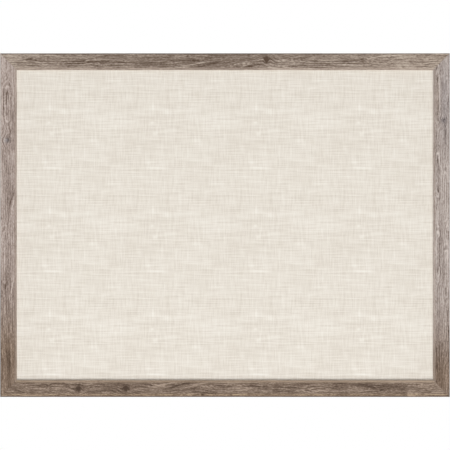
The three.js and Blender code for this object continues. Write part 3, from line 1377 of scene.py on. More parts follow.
@dataclass(frozen=True)
class Mark:
    """A knot, heart, patch or streak in the grain, by its middle pixel in the photograph.

    Some are painted light or shade along an edge. The half sizes are in pixels along and across the
    moulding. Tone is how light it is.
    Lean is how far it slants inwards for each pixel along the side's own X, and sweep how
    far the grain in it does. Warmth is how brown it is, or how grey where it is below 0.
    Knot is how much the whole grain bends round it. Heart is how much the growth rings
    alone do, and how strongly pale ovals lie round it.
    """

    photo_x: float
    photo_y: float
    half_length: float
    half_width: float
    tone: float
    lean: float = 0.0
    knot: float = 0.0
    heart: float = 0.0
    warmth: float = 0.0
    sweep: float = 0.0


@dataclass(frozen=True)
class Splice:
    """A stretch with a facing of its own, by its ends' pixels in the photograph."""

    first_x: float
    first_y: float
    last_x: float
    last_y: float
    tone: float
    warmth: float


FACINGS: dict[Side, WeatheredWood] = {
    Side.TOP: WeatheredWood("top_wood", (84, 68, 56), (133, 118, 106), (186, 172, 158), (162, 146, 134)),
    Side.BOTTOM: WeatheredWood(
        "bottom_wood",
        dark=(73, 59, 49),
        middle=(112, 95, 82),
        light=(167, 149, 133),
        # The bottom bevel is lighter than the others: a painted highlight, as the key lamp from below
        # leaves it in shade
        bevel=(180, 158, 134),
        warm_dark=(76, 60, 45),
        warm_middle=(118, 98, 80),
        warm_light=(176, 153, 125),
        contrast=0.95,
    ),
    Side.LEFT: WeatheredWood(
        "left_wood", (92, 76, 65), (149, 134, 126), (195, 181, 173), (160, 145, 132), contrast=0.92
    ),
    Side.RIGHT: WeatheredWood(
        "right_wood", (98, 84, 76), (162, 150, 143), (202, 191, 184), (170, 155, 144), contrast=0.84
    ),
}

SPLICES: dict[Side, tuple[Splice, ...]] = {
    Side.TOP: (Splice(367, 60, 460, 60, 0.14, 0.1),),
    Side.BOTTOM: (Splice(407, 390, 460, 390, 0.15, 0),),
    Side.LEFT: (),
    Side.RIGHT: (Splice(441, 341, 441, 410, -0.01, 0),),
}

MARKS: dict[Side, tuple[Mark, ...]] = {
    Side.TOP: (
        # Lines along the edges: painted shade on the rounded outer edge and along the lip by the linen
        Mark(225, 53.2, 400, 0.6, -0.3),
        Mark(205, 53.2, 75, 0.6, -0.4),
        Mark(40, 69.4, 25, 0.6, -0.2),
        Mark(240, 68.8, 45, 0.7, -0.22),
        Mark(400, 69.4, 35, 0.6, -0.3),
        # Broad pale and dark stretches
        Mark(190, 60, 75, 30, -0.15),
        Mark(8, 60, 15, 30, 0.15),
        # Slanting grain, hearts and knots
        Mark(222, 63, 28, 5, 0, sweep=-0.2),
        Mark(60, 60, 28, 2.4, 0, heart=0.9),
        Mark(266.5, 59.4, 2.2, 3, -0.80, knot=0.8),
        Mark(330, 60, 30, 2.2, 0, heart=0.9),
        # Short lines
        Mark(95, 61.8, 26, 0.7, -0.44, lean=0.01),
        Mark(130, 62.2, 18, 0.7, -0.44),
        Mark(30, 59.5, 12, 1.4, -0.18, lean=0.2),
        Mark(197, 63.7, 15, 0.7, 0.46, lean=-0.22),
        Mark(214, 63.2, 12, 0.8, -0.52, lean=-0.23),
        Mark(238, 63.4, 13, 0.7, 0.46, lean=-0.19),
        Mark(254, 65.2, 9, 0.8, -0.46, lean=-0.19),
        Mark(244, 66.2, 5, 0.7, 0.32, lean=-0.3),
        # Flecks
        Mark(187.5, 56, 1.2, 1.4, -0.5),
        Mark(317, 61.4, 3.5, 1.8, -0.26),
        Mark(346, 60.8, 5, 1.8, -0.24),
        Mark(363, 60.8, 4, 1.8, -0.24),
        Mark(345, 64.2, 1.5, 0.9, 0.35),
    ),
    Side.BOTTOM: (
        # Lines along the edges: painted shade on the rounded outer edge, and pale lines above it
        Mark(225, 397, 400, 0.8, -0.75),
        Mark(225, 394.8, 400, 1, 0.20, warmth=1.0),
        Mark(28, 394.6, 34, 2, 0.14),
        # Painted highlight on the inner bevel, which the key lamp from below leaves in shade
        Mark(38, 380.8, 22, 1.2, 0.22),
        Mark(395, 380.8, 38, 1.8, 0.5),
        # Broad pale and dark stretches
        Mark(300, 390, 30, 30, 0.08),
        Mark(394, 389, 14, 30, -0.08),
        # Hearts, knots and slanting grain
        Mark(36, 386.5, 10, 2.2, -0.06, heart=1.0),
        Mark(78.6, 388.9, 2.9, 2.9, -0.95, knot=0.8),
        Mark(125.6, 388.6, 2.9, 2.8, -0.95, knot=0.8),
        Mark(185, 385, 24, 5, 0, sweep=-0.2),
        Mark(340, 389, 30, 2.2, 0, heart=0.9),
        # Short lines
        Mark(196, 384.5, 16, 0.7, 0.46, lean=-0.18),
        Mark(179, 385.2, 12, 0.8, -0.46, lean=-0.27),
        Mark(205.5, 392.8, 3.5, 0.8, -0.26, lean=-0.5),
        Mark(260, 386.4, 14, 0.8, -0.34),
        Mark(163, 384.6, 12, 0.6, 0.36, lean=-0.2),
        Mark(172, 382.8, 9, 0.6, 0.34, lean=-0.2),
        Mark(207, 386.6, 12, 0.6, 0.24, lean=-0.14),
        Mark(375, 386, 22, 2.4, -0.18),
        # Flecks
        Mark(79.5, 384.5, 0.9, 2.4, -0.30),
        Mark(202.5, 394.7, 1.3, 1, -0.60),
        Mark(200, 394.7, 1, 0.9, 0.35),
        Mark(403.5, 391, 5, 4.5, -0.16),
        Mark(410.5, 391.5, 3.2, 3.2, 0.18),
    ),
    Side.LEFT: (
        # Lines along the edges: a painted highlight on the rounded outer edge, darker at its edge lower
        # down
        Mark(1.4, 150, 130, 0.7, 0.24),
        Mark(-0.5, 360, 80, 1.1, -0.95),
        Mark(1.5, 375, 40, 0.7, 0.16),
        # Painted shade along the lip beside the linen
        Mark(15.4, 225, 150, 0.7, -0.28),
        # Broad pale, dark and brown stretches
        Mark(8, 75, 30, 30, 0.06),
        Mark(8, 372, 60, 30, 0, warmth=1.2),
        Mark(8, 338, 34, 30, -0.09),
        Mark(3.5, 165, 24, 3, 0.12),
        Mark(3.5, 290, 14, 3, 0.14),
        # Hearts and a knot
        Mark(7.5, 104, 18, 2.6, 0, heart=1.0),
        Mark(6.8, 140.3, 2.4, 2.8, -0.50, knot=0.6, warmth=-1),
        Mark(4.5, 258, 26, 2.2, 0, heart=0.9),
        # Short lines
        Mark(11.5, 290, 16, 0.7, 0.42, lean=0.22),
        Mark(11.7, 211, 14, 0.7, 0.38, lean=0.2),
        Mark(12.5, 197, 9, 0.8, -0.40, lean=0.34),
        Mark(9.4, 360, 26, 1, -0.28),
        # Flecks
        Mark(1.2, 218.5, 1.2, 1.1, -0.50),
        Mark(1, 296.5, 1.2, 1.1, -0.50),
        Mark(5.5, 87.5, 0.8, 3, 0.30),
    ),
    Side.RIGHT: (
        # Lines along the edges: painted shade on the rounded outer edge, a painted highlight just inside
        # it
        Mark(449.4, 225, 400, 0.8, -0.3),
        Mark(450.2, 355, 14, 1.2, -0.4),
        Mark(448.2, 195, 110, 0.7, 0.16),
        # Painted shade along the lip beside the linen
        Mark(434.3, 150, 170, 0.9, -0.38),
        Mark(434.3, 84, 16, 0.9, -0.3),
        # Broad pale, dark, brown and grey stretches
        Mark(441, 66, 22, 30, 0.03),
        Mark(445.5, 100, 45, 6, -0.08, warmth=-0.6),
        Mark(441, 260, 60, 30, 0.04),
        Mark(441, 362, 46, 30, -0.11),
        Mark(441, 380, 50, 30, 0, warmth=1.0),
        # Hearts and a knot
        Mark(437.5, 97, 26, 2.2, 0.10, heart=1.0, warmth=0.5),
        Mark(443.2, 120.5, 2.4, 2.8, -0.42, knot=0.6, warmth=-0.5),
        Mark(437.8, 175, 22, 2, 0, heart=1.0),
        Mark(445.5, 196, 24, 2, 0, heart=1.0),
        Mark(438, 254, 22, 2, 0, heart=1.0),
        Mark(446, 274, 24, 2, 0, heart=1.0),
        # Flecks
        Mark(445.5, 131, 9, 0.8, -0.36),
        Mark(437.5, 153.5, 1, 1.8, 0.32),
        Mark(444.8, 172, 1, 1.8, 0.28),
        Mark(437.8, 232, 1, 1.8, 0.32),
        Mark(446, 251, 1, 1.8, 0.28),
    ),
}


@dataclass(frozen=True)
class FastenerSizes:
    """The sizes that a fastener and the cut that holds it share."""

    nail_sheet: float = 0.5
    point_taper: float = 4.0


def nail_outline(leg: float, sheet: float, gap: float = 0.0) -> list[Place]:
    """Draw a V-nail's section, with its fold at the origin and its legs along X and Y.

    Args:
        leg: How long each leg is.
        sheet: How thick it is.
        gap: How far outside the V-nail the outline runs.

    Returns:
        The outline.
    """
    tip = leg + gap
    inside = sheet + gap
    return [(-gap, -gap), (tip, -gap), (tip, inside), (inside, inside), (inside, tip), (-gap, tip)]


@dataclass
class MouldingFrame:
    """The four mitred lengths of wood-faced moulding."""

    board: Board
    rabbet_width: float = 6.5
    outer_radius: float = 2.0
    bevel_width: float = 3.4
    bevel_drop: float = 1.2
    back_chamfer: float = 0.8
    raw_chamfer_share: float = 0.9
    mitre_gap: float = 0.06
    grain_relief: float = 0.14
    seed_step: int = 17
    splice_seed: float = 5.3
    sway_reach: float = 9.0
    drift_share: float = 0.35
    wobble_share: float = 0.6
    oval_tone: float = 0.45
    oval_mean: float = 0.27
    bend_reach: float = 5.0
    rabbet_slack: float = 0.02
    bevel_slack: float = 0.05
    length_step: float = 1.6
    face_step: float = 0.5
    plain_step: float = 2.5
    edge_steps: int = 6
    nail_gap: float = 0.15
    point_gap: float = 0.15
    pilot_gap: float = 0.2
    overrun: float = 2.0
    round_steps: int = 24
    fasteners: FastenerSizes = FastenerSizes()

    def section(self) -> bpy.types.Mesh:
        """Draw the moulding's section as a loop: the side's own Y and Z, turned half round.

        Returns:
            The loop.
        """
        board = self.board
        depth = board.back - board.front
        lip_back = board.linen_low.y - board.back
        land = board.face - self.rabbet_width * MM
        radius = self.outer_radius * MM
        chamfer = self.back_chamfer * MM
        corners = [
            (chamfer, 0.0),
            (land, 0.0),
            (land, lip_back),
            (board.face, lip_back),
            (board.face, self.bevel_drop * MM - depth),
            (board.face - self.bevel_width * MM, -depth),
        ]
        spacing = [self.plain_step] * 3 + [self.face_step] * 3
        round_edge = arc((radius, radius - depth), radius, -90.0, -180.0, self.edge_steps)
        corners += round_edge + [(0.0, -chamfer)]
        spacing += [self.face_step] * (len(round_edge) - 1) + [self.face_step * 2, self.plain_step]
        outline = refined(corners, [step * MM for step in spacing])
        return loop_mesh("moulding_section", [(-y, -z, 0.0) for y, z in reversed(outline)])

    def inputs(self) -> dict[str, str]:
        """Name the tree's inputs, each with the last word of its socket type."""
        lengths = ("Length", "Depth", "Face Width", "Bevel Width", "Land Width", "Lip Back", "Raw Depth")
        named = {name: "Float" for name in lengths + ("Mitre Gap", "Grain Relief", "Seed")}
        return named | {"Steps": "Int", "Cutters": "Object", "Facing": "Material", "Raw Board": "Material"}

    def mitred(self, tree: PieceTree, x: Field, y: Field, z: Field) -> Field:
        """Sweep the section along a straight path, and narrow it to the mitres.

        Args:
            tree: The tree.
            x: A point's place along the side.
            y: Its place in from the outer edge.
            z: Its place to the wall.

        Returns:
            The mitred length.
        """
        half = tree.given("Length") / 2.0
        ends = {"Start": tree.vector(half * -1.0, 0.0), "End": tree.vector(half, 0.0)}
        line = tree.out(tree.node("GeometryNodeCurvePrimitiveLine", ends))
        path = tree.node("GeometryNodeResampleCurve", {"Curve": line, "Count": tree.given("Steps")})
        section = tree.node("GeometryNodeMeshToCurve", {"Mesh": tree.given("Geometry")})
        curves = {"Curve": tree.out(path), "Profile Curve": tree.out(section), "Fill Caps": True}
        swept = tree.out(tree.node("GeometryNodeCurveToMesh", curves))
        taper = 1.0 - (y + tree.given("Mitre Gap") * math.sqrt(0.5)) / half
        moved_in = {"Geometry": swept, "Position": tree.vector(x * taper, y, z)}
        return tree.out(tree.node("GeometryNodeSetPosition", moved_in))

    def raw_share(self, tree: PieceTree, y: Field, z: Field) -> Field:
        """Tell where the moulding has no facing: on its back and in its rabbet.

        Args:
            tree: The tree.
            y: A point's place in from the outer edge.
            z: Its place to the wall.

        Returns:
            1 where it is raw, and 0 elsewhere.
        """
        slack = self.rabbet_slack * MM
        past_lip = tree.number("GREATER_THAN", z, tree.given("Lip Back") - slack)
        past_land = tree.number("GREATER_THAN", y, tree.given("Land Width") - slack)
        behind = tree.number("GREATER_THAN", z, tree.given("Raw Depth"))
        return tree.number("MAXIMUM", behind, past_lip * past_land)

    def tree(self, side: Side) -> PieceTree:
        """Build the nodes that sweep, mitre, grain and cut one side's length of moulding.

        Args:
            side: The side, whose marks go into the grain.

        Returns:
            The tree.
        """
        tree = PieceTree(side.node, self.inputs())
        x, y, z = tree.parts(tree.out(tree.node("GeometryNodeInputPosition")))
        made = self.mitred(tree, x, y, z)
        along = x / MM
        below_face = z + tree.given("Depth")
        past_middle = tree.number("GREATER_THAN", y, tree.given("Face Width") / 2.0)
        across = (y + below_face * (past_middle * 2.0 - 1.0)) / MM
        bent, rings, tone, warmth, seed = self.figure(tree, side, along, across, tree.given("Seed"))
        raw = self.raw_share(tree, y, z)
        streaks = wood_streaks(tree, along, bent, rings, seed)
        sunk = tree.remap(streaks + tone * 0.5, 0.25, -0.4) * (1.0 - raw) * tree.given("Grain Relief")
        _, normal_y, normal_z = tree.parts(tree.out(tree.node("GeometryNodeInputNormal")))
        inward = tree.vector(0.0, normal_y * sunk * -1.0, normal_z * sunk * -1.0)
        made = tree.out(tree.node("GeometryNodeSetPosition", {"Geometry": made, "Offset": inward}))
        tools = tree.node("GeometryNodeObjectInfo", {"Object": tree.given("Cutters")})
        cut = tree.node("GeometryNodeMeshBoolean", operation="DIFFERENCE", solver="MANIFOLD")
        tree.feed(cut, "Mesh 1", made)
        tree.feed(cut, "Mesh 2", tree.out(tools, "Geometry"))
        made = tree.store(tree.out(cut), "grain", "FLOAT_VECTOR", tree.vector(along, bent, seed))
        inner = tree.given("Face Width") - tree.given("Bevel Width") + self.bevel_slack * MM
        bevel = tree.number("GREATER_THAN", y, inner)
        kept = {"rings": rings, "tone": tone, "bevel": bevel, "warmth": warmth}
        for name, value in kept.items():
            made = tree.store(made, name, "FLOAT", value)
        made = tree.paint(made, tree.given("Facing"))
        made = tree.paint(made, tree.given("Raw Board"), raw)
        tree.finish(tree.out(tree.node("GeometryNodeRealizeInstances", {"Geometry": made})))
        return tree

    def figure(
        self, tree: PieceTree, side: Side, along: Field, across: Field, seed: Field
    ) -> tuple[Field, ...]:
        """Bend the grain round a side's knots, and tone and warm it where the photograph does.

        Args:
            tree: The tree.
            side: The side.
            along: The place along the side's middle, in millimetres.
            across: The place in from its outer edge, in millimetres.
            seed: What makes this length unlike the others.

        Returns:
            The bent place across the grain and the place across the rings, in millimetres, the
            tone, the warmth and the seed.
        """
        pixel = self.board.pixel / MM
        to_side = side.matrix(self.board).inverted()
        spliced = warmth = along * 0.0
        for splice in SPLICES[side]:
            first = (to_side @ self.board.at_pixel(splice.first_x, splice.first_y)).x / MM
            last = (to_side @ self.board.at_pixel(splice.last_x, splice.last_y)).x / MM
            from_middle = tree.number("ABSOLUTE", along - (first + last) / 2)
            inside = tree.number("LESS_THAN", from_middle, abs(last - first) / 2)
            seed = seed + inside * self.splice_seed
            spliced = spliced + inside * splice.tone
            warmth = warmth + inside * splice.warmth
        place = (along, across, seed)
        sway = tree.grain(place, length=55.0, width=16.0, shift=50.0, detail=1.0)
        drift = tree.grain(place, length=60.0, width=40.0, shift=80.0)
        wobble = tree.grain(place, length=9.0, width=4.0, shift=61.0, detail=1.0) * self.wobble_share
        tone = drift * self.drift_share + spliced
        bent = rings = across + sway * self.sway_reach
        for mark in MARKS[side]:
            spot = to_side @ self.board.at_pixel(mark.photo_x, mark.photo_y)
            from_along = along - spot.x / MM
            from_across = across - spot.y / MM - from_along * mark.lean
            far_along = from_along / (mark.half_length * pixel)
            far_across = from_across / (mark.half_width * pixel)
            squared = far_along * far_along + far_across * far_across
            near = tree.bell(squared)
            if mark.tone:
                tone = tone + near * mark.tone
            if mark.warmth:
                warmth = warmth + near * mark.warmth
            if mark.sweep:
                slant = from_along * near * mark.sweep
                bent = bent - slant
                rings = rings - slant
            if mark.knot or mark.heart:
                if mark.heart:
                    long_oval = tree.number("POWER", far_along * far_along, 3.0)
                    squared = long_oval + far_across * far_across
                round_it = tree.number("SQRT", squared)
                about = round_it * (mark.half_width * pixel) + spot.y / MM
                reach = tree.bell(squared / self.bend_reach)
                bent = bent + (about - bent) * reach * mark.knot
                rings = rings + (about - rings) * reach * max(mark.knot, mark.heart)
            if mark.heart:
                wave = tree.number("COSINE", (round_it + wobble) * math.tau)
                ovals = tree.number("POWER", wave * 0.5 + 0.5, 4.0) - self.oval_mean
                tone = tone + ovals * reach * (mark.heart * self.oval_tone)
        return bent, rings, tone, tree.number("MINIMUM", warmth, 1.0), seed

    def cutters(self, side: Side) -> bpy.types.Mesh:
        """Make the tools that cut a side's kerfs, slots and pilot holes.

        Args:
            side: The side.

        Returns:
            The tools as one mesh, in the side's own frame.
        """
        name = side.name.lower()
        tools = []
        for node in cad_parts:
            if node.startswith("v_nail_") and name in node:
                tools.append(self.nail_kerf(side, node))
            elif node.startswith(f"point_{name}_"):
                tools.append(self.point_slot(side, node))
            elif node.startswith(f"{name}_hanger_screw_"):
                tools.append(self.pilot_hole(side, node))
        return joined(side.node + "_cutters", tools)

    def nail_kerf(self, side: Side, node: str) -> bpy.types.Mesh:
        """Make the tool for a V-nail's kerf.

        Args:
            side: The side that it cuts.
            node: The V-nail's node.

        Returns:
            The tool.
        """
        low, high = side.local_box(self.board, node)
        gap = self.nail_gap * MM
        start, inward = (low.x, 1.0) if low.x < 0 else (high.x, -1.0)
        outline = nail_outline(high.y - low.y, self.fasteners.nail_sheet * MM, gap)
        placed = [(start + inward * x, low.y + y) for x, y in outline]
        return prism(placed, low.z - gap, self.overrun * MM)

    def point_slot(self, side: Side, node: str) -> bpy.types.Mesh:
        """Make the tool for the slot that a glazier's point bites.

        Args:
            side: The side that it cuts.
            node: The point's node.

        Returns:
            The tool.
        """
        low, high = side.local_box(self.board, node)
        gap = self.point_gap * MM
        shoulder = low.y + self.fasteners.point_taper * MM
        outline = [
            ((low.x + high.x) / 2, low.y - gap),
            (high.x + gap, shoulder),
            (high.x + gap, high.y + gap),
            (low.x - gap, high.y + gap),
            (low.x - gap, shoulder),
        ]
        return prism(outline, low.z - gap, high.z + gap)

    def pilot_hole(self, side: Side, node: str) -> bpy.types.Mesh:
        """Make the tool for a hanger screw's pilot hole.

        Args:
            side: The side that it cuts.
            node: The screw's node.

        Returns:
            The tool.
        """
        low, high = side.local_box(self.board, node)
        radius = HangerScrew().shank_radius + self.pilot_gap
        rim = circle(middle((low, high)).xy, radius * MM, self.round_steps)
        return prism(rim, low.z - self.pilot_gap * MM, self.overrun * MM)

    def build(self) -> None:
        """Build the four sides and dress them."""
        board = self.board
        raw = Fibreboard("raw_fibreboard", (120, 92, 66), (158, 128, 98), (184, 156, 126)).build()
        section = self.section()
        for side in Side:
            cutters = linked(side.node + "_cutters", self.cutters(side))
            length = side.length(board)
            values = {
                "Length": length,
                "Mitre Gap": self.mitre_gap * MM,
                "Grain Relief": self.grain_relief * MM,
                "Seed": float(side.value * self.seed_step),
                "Face Width": board.face,
                "Depth": board.back - board.front,
                "Bevel Width": self.bevel_width * MM,
                "Land Width": board.face - self.rabbet_width * MM,
                "Lip Back": board.linen_low.y - board.back,
                "Raw Depth": -self.back_chamfer * MM * self.raw_chamfer_share,
                "Steps": round(length / MM / self.length_step) + 1,
                "Cutters": cutters,
                "Facing": FACINGS[side].build(),
                "Raw Board": raw,
            }
            mesh = self.tree(side).build(side.node + "_moulding", section, values)
            mesh.transform(side.matrix(board))
            bpy.data.objects.remove(cutters)
            show(side.node + "_moulding", mesh, [side.node], sharp_above=50.0)


# Panel


@dataclass
class LinenPanel:
    """The covered panel: linen stretched over cork and softboard, with a hardboard back."""

    board: Board
    cloth_thickness: float = 0.8
    turned_margin: float = 25.0
    margin_steps: int = 4
    edge_radius: float = 1.2
    corner_radius: float = 1.5
    corner_steps: int = 4
    grid_step: float = 4.0
    inner_edge: float = 3.0

    def stations(self) -> list[tuple[float, float, float]]:
        """List the loops that the cloth passes through from its face to the end of its margin.

        Returns:
            Each loop's inset from the panel's edge, its Y, and how far along the cloth it lies
            past the face's edge.
        """
        radius = self.edge_radius * MM
        front = self.board.linen_low.y
        back = self.board.linen_high.y
        margin = self.turned_margin * MM
        loops = arc((radius, front + radius), radius, -90.0, -180.0, self.corner_steps)
        loops += arc((radius, back - radius), radius, -180.0, -270.0, self.corner_steps)
        loops += [(margin * step / self.margin_steps, back) for step in range(1, self.margin_steps + 1)]
        placed = []
        travelled = -radius
        previous = loops[0]
        for loop in loops:
            travelled += math.dist(loop, previous)
            placed.append((loop[0], loop[1], travelled))
            previous = loop
        return placed

    def cloth(self) -> bpy.types.Mesh:
        """Make the linen's outer skin, with each point's place on the flat cloth.

        Returns:
            The open skin.
        """
        low, high = self.board.linen_low, self.board.linen_high
        half = Vector(((high.x - low.x) / 2, (high.z - low.z) / 2))
        centre = Vector(((high.x + low.x) / 2, (high.z + low.z) / 2))
        face = half - Vector((self.inner_edge, self.inner_edge)) * MM
        columns = round(2 * face.x / MM / self.grid_step)
        rows = round(2 * face.y / MM / self.grid_step)
        points = []
        flat = []
        for row in range(rows + 1):
            for column in range(columns + 1):
                x = face.x * (2 * column / columns - 1)
                z = face.y * (2 * row / rows - 1)
                points.append((centre.x + x, low.y, centre.y + z))
                flat.append((x, z, 0.0))
        faces = []
        for row in range(rows):
            for column in range(columns):
                here = row * (columns + 1) + column
                faces.append((here, here + 1, here + columns + 2, here + columns + 1))
        across = [(column, 0) for column in range(columns)] + [(columns, row) for row in range(rows)]
        around = across + [(columns - c, rows - r) for c, r in across]
        previous = [r * (columns + 1) + c for c, r in around]
        for inset, y, travelled in self.stations():
            current = []
            for column, row in around:
                share = Vector((2 * column / columns - 1, 2 * row / rows - 1))
                corner = abs(share.x) == 1 and abs(share.y) == 1 and inset < self.corner_radius * MM
                pull = self.corner_radius * MM * (1 - math.sqrt(0.5)) if corner else 0.0
                x = share.x * (half.x - max(inset, pull))
                z = share.y * (half.y - max(inset, pull))
                current.append(len(points))
                points.append((centre.x + x, y, centre.y + z))
                flat.append((share.x * (half.x + travelled), share.y * (half.y + travelled), 0.0))
            for i in range(len(around)):
                beside = (i + 1) % len(around)
                faces.append((previous[i], current[i], current[beside], previous[beside]))
            previous = current
        mesh = mesh_of("linen_sheet", points, faces)
        attribute = mesh.attributes.new("cloth", "FLOAT_VECTOR", "POINT")
        for item, place in zip(attribute.data, flat):
            item.vector = place
        return mesh

    def build(self) -> None:
        """Build the linen, and dress the sheets behind it."""
        skin = linked("linen_skin", self.cloth())
        wall = skin.modifiers.new("thickness", "SOLIDIFY")
        wall.thickness = self.cloth_thickness * MM
        wall.offset = -1.0
        mesh = outward(evaluated(skin, "linen_sheet"))
        bpy.data.objects.remove(skin)
        linen = SlubbedLinen("slubbed_linen", self.board).build()
        sheet = show("linen_sheet", mesh, ["linen_cover"], linen)
        dress("cork_sheet", GroundCork("ground_cork").build())
        softboard = Fibreboard("softboard", (146, 124, 96), (186, 166, 138), (206, 190, 166))
        dress("softboard_core", softboard.build())
        hardboard = Fibreboard(
            "hardboard", (70, 48, 33), (108, 78, 55), (134, 102, 76), fibre_length=0.9, screen_pitch=2.4
        )
        dress("hardboard_back", hardboard.build())


# Small steel pieces


class RowOfCopies(PieceTree):
    """The nodes that set copies of one piece out in a straight row."""

    def __init__(self) -> None:
        """Build the tree."""
        super().__init__(
            "row_of_copies", {"Count": "Int", "First": "Vector", "Step": "Vector", "Finish": "Material"}
        )
        line = self.node("GeometryNodeMeshLine", {"Count": self.given("Count")}, mode="OFFSET")
        self.feed(line, "Start Location", self.given("First"))
        self.feed(line, "Offset", self.given("Step"))
        copies = self.node("GeometryNodeInstanceOnPoints", {"Points": self.out(line)})
        self.feed(copies, "Instance", self.given("Geometry"))
        self.finish_real(self.out(copies))

    def row(
        self, name: str, piece: bpy.types.Mesh, places: Sequence[Vector], finish: bpy.types.Material
    ) -> bpy.types.Mesh:
        """Set copies out at evenly spaced places.

        Args:
            name: The new mesh's name.
            piece: The piece that is copied.
            places: Where the copies go, in order.
            finish: Their finish.

        Returns:
            The copies as one mesh.
        """
        step = (places[-1] - places[0]) / max(1, len(places) - 1)
        values = {"Count": len(places), "First": tuple(places[0]), "Step": tuple(step), "Finish": finish}
        return self.build(name, piece, values)


@dataclass
class PanelFasteners:
    """The glazier's points that hold the panel in, and the V-nails that hold the mitres."""

    board: Board
    copies: RowOfCopies
    zinc: bpy.types.Material
    sizes: FastenerSizes = FastenerSizes()
    point_corner: float = 1.0
    edge_softness: float = 0.08
    sharp_above: float = 50.0
    corner_steps: int = 4

    def nodes(self, start: str) -> list[str]:
        """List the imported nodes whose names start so, in order."""
        return sorted(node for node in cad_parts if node.startswith(start))

    def places(self, side: Side, nodes: Sequence[str]) -> list[Vector]:
        """Find where nodes stand in a side's own frame, in order along it.

        Args:
            side: The side.
            nodes: The nodes' names.

        Returns:
            Each node's middle along the side, at its outer edge and its front.
        """
        boxes = [side.local_box(self.board, node) for node in nodes]
        found = [Vector(((low.x + high.x) / 2, low.y, low.z)) for low, high in boxes]
        return sorted(found, key=lambda place: place.x)

    def point(self) -> bpy.types.Mesh:
        """Make one glazier's point, with its tip at Y = 0 and its front at Z = 0.

        Returns:
            The point.
        """
        low, high = Side.TOP.local_box(self.board, "point_top_1")
        side = (high.x - low.x) / 2
        tail = high.y - low.y
        corner = self.point_corner * MM
        shoulder = self.sizes.point_taper * MM
        outline = [(0.0, 0.0), (side, shoulder)]
        outline += arc((side - corner, tail - corner), corner, 0.0, 90.0, self.corner_steps)
        outline += arc((corner - side, tail - corner), corner, 90.0, 180.0, self.corner_steps)
        outline += [(-side, shoulder)]
        return softened(prism(outline, 0.0, high.z - low.z), self.edge_softness * MM, self.sharp_above)

    def v_nail(self) -> bpy.types.Mesh:
        """Make one V-nail, with its fold at the origin and its legs along X and Y.

        Returns:
            The V-nail.
        """
        low, high = Side.TOP.local_box(self.board, "v_nail_top_left_1")
        outline = nail_outline(high.x - low.x, self.sizes.nail_sheet * MM)
        return softened(prism(outline, 0.0, high.z - low.z), self.edge_softness * MM, self.sharp_above)

    def build(self) -> None:
        """Build the points and V-nails of the whole board."""
        point = self.point()
        v_nail = self.v_nail()
        points = []
        v_nails = []
        for side in Side:
            matrix = side.matrix(self.board)
            places = self.places(side, self.nodes(f"point_{side.name.lower()}_"))
            points.append(moved(self.copies.row("points", point, places, self.zinc), matrix))
            at_corner = self.nodes("v_nail_" + side.corner)
            folds = [side.local_box(self.board, node)[0] for node in at_corner]
            v_nails.append(moved(self.copies.row("v_nails", v_nail, folds, self.zinc), matrix))
        shown = (("glazier_points", "point_", points), ("mitre_v_nails", "v_nail_", v_nails))
        for name, start, made in shown:
            show(name, joined(name, made), self.nodes(start), self.zinc)


@dataclass(frozen=True)
class HangerScrew:
    """A pan-head screw with a cross recess, in millimetres, whose head stands on Z = 0."""

    head_radius: float = 3.3
    head_height: float = 2.0
    head_rim: float = 0.8
    head_foot_chamfer: float = 0.2
    flank_inset: float = 0.12
    flank_drop: float = 0.1
    shank_radius: float = 1.6
    shank_length: float = 11.0
    point_length: float = 3.0
    recess_arm: float = 1.9
    recess_width: float = 0.75
    recess_depth: float = 1.25
    recess_foot_share: float = 0.45
    overrun: float = 0.1
    sides: int = 40
    dome_steps: int = 7

    def build(self) -> bpy.types.Mesh:
        """Make the screw.

        Returns:
            The screw.
        """
        chamfer = self.head_foot_chamfer
        flank = self.head_radius - self.flank_inset
        profile = [(0.0, -self.shank_length - self.point_length), (self.shank_radius, -self.shank_length)]
        profile += [(self.shank_radius, 0.0), (self.head_radius - chamfer, 0.0)]
        profile += [(self.head_radius, chamfer), (self.head_radius, self.head_rim - self.flank_drop)]
        profile += dome(0.0, flank, self.head_rim, self.head_height, self.dome_steps)[:-1]
        profile += [(0.0, self.head_height)]
        screw = turned([(radius * MM, height * MM) for radius, height in profile], self.sides)
        arm = self.recess_arm * MM
        half = self.recess_width * MM / 2
        quarter = [(arm, -half), (arm, half), (half, half)]
        cross = []
        for turns in range(4):
            turn = Matrix.Rotation(math.radians(90 * turns), 2)
            cross += [tuple(turn @ Vector(place)) for place in quarter]
        floor = (self.head_height - self.recess_depth) * MM
        top = (self.head_height + self.overrun) * MM
        return shaped(screw, prism(cross, floor, top, self.recess_foot_share))


class BentWire(PieceTree):
    """The nodes that bend a round wire along a closed path."""

    def __init__(self) -> None:
        """Build the tree."""
        super().__init__("bent_wire", {"Wire Radius": "Float", "Sides": "Int", "Finish": "Material"})
        path = self.node("GeometryNodeMeshToCurve", {"Mesh": self.given("Geometry")})
        section = self.node("GeometryNodeCurvePrimitiveCircle", {"Resolution": self.given("Sides")})
        self.feed(section, "Radius", self.given("Wire Radius"))
        wire = self.node("GeometryNodeCurveToMesh", {"Curve": self.out(path)})
        self.feed(wire, "Profile Curve", self.out(section))
        self.finish_real(self.out(wire))


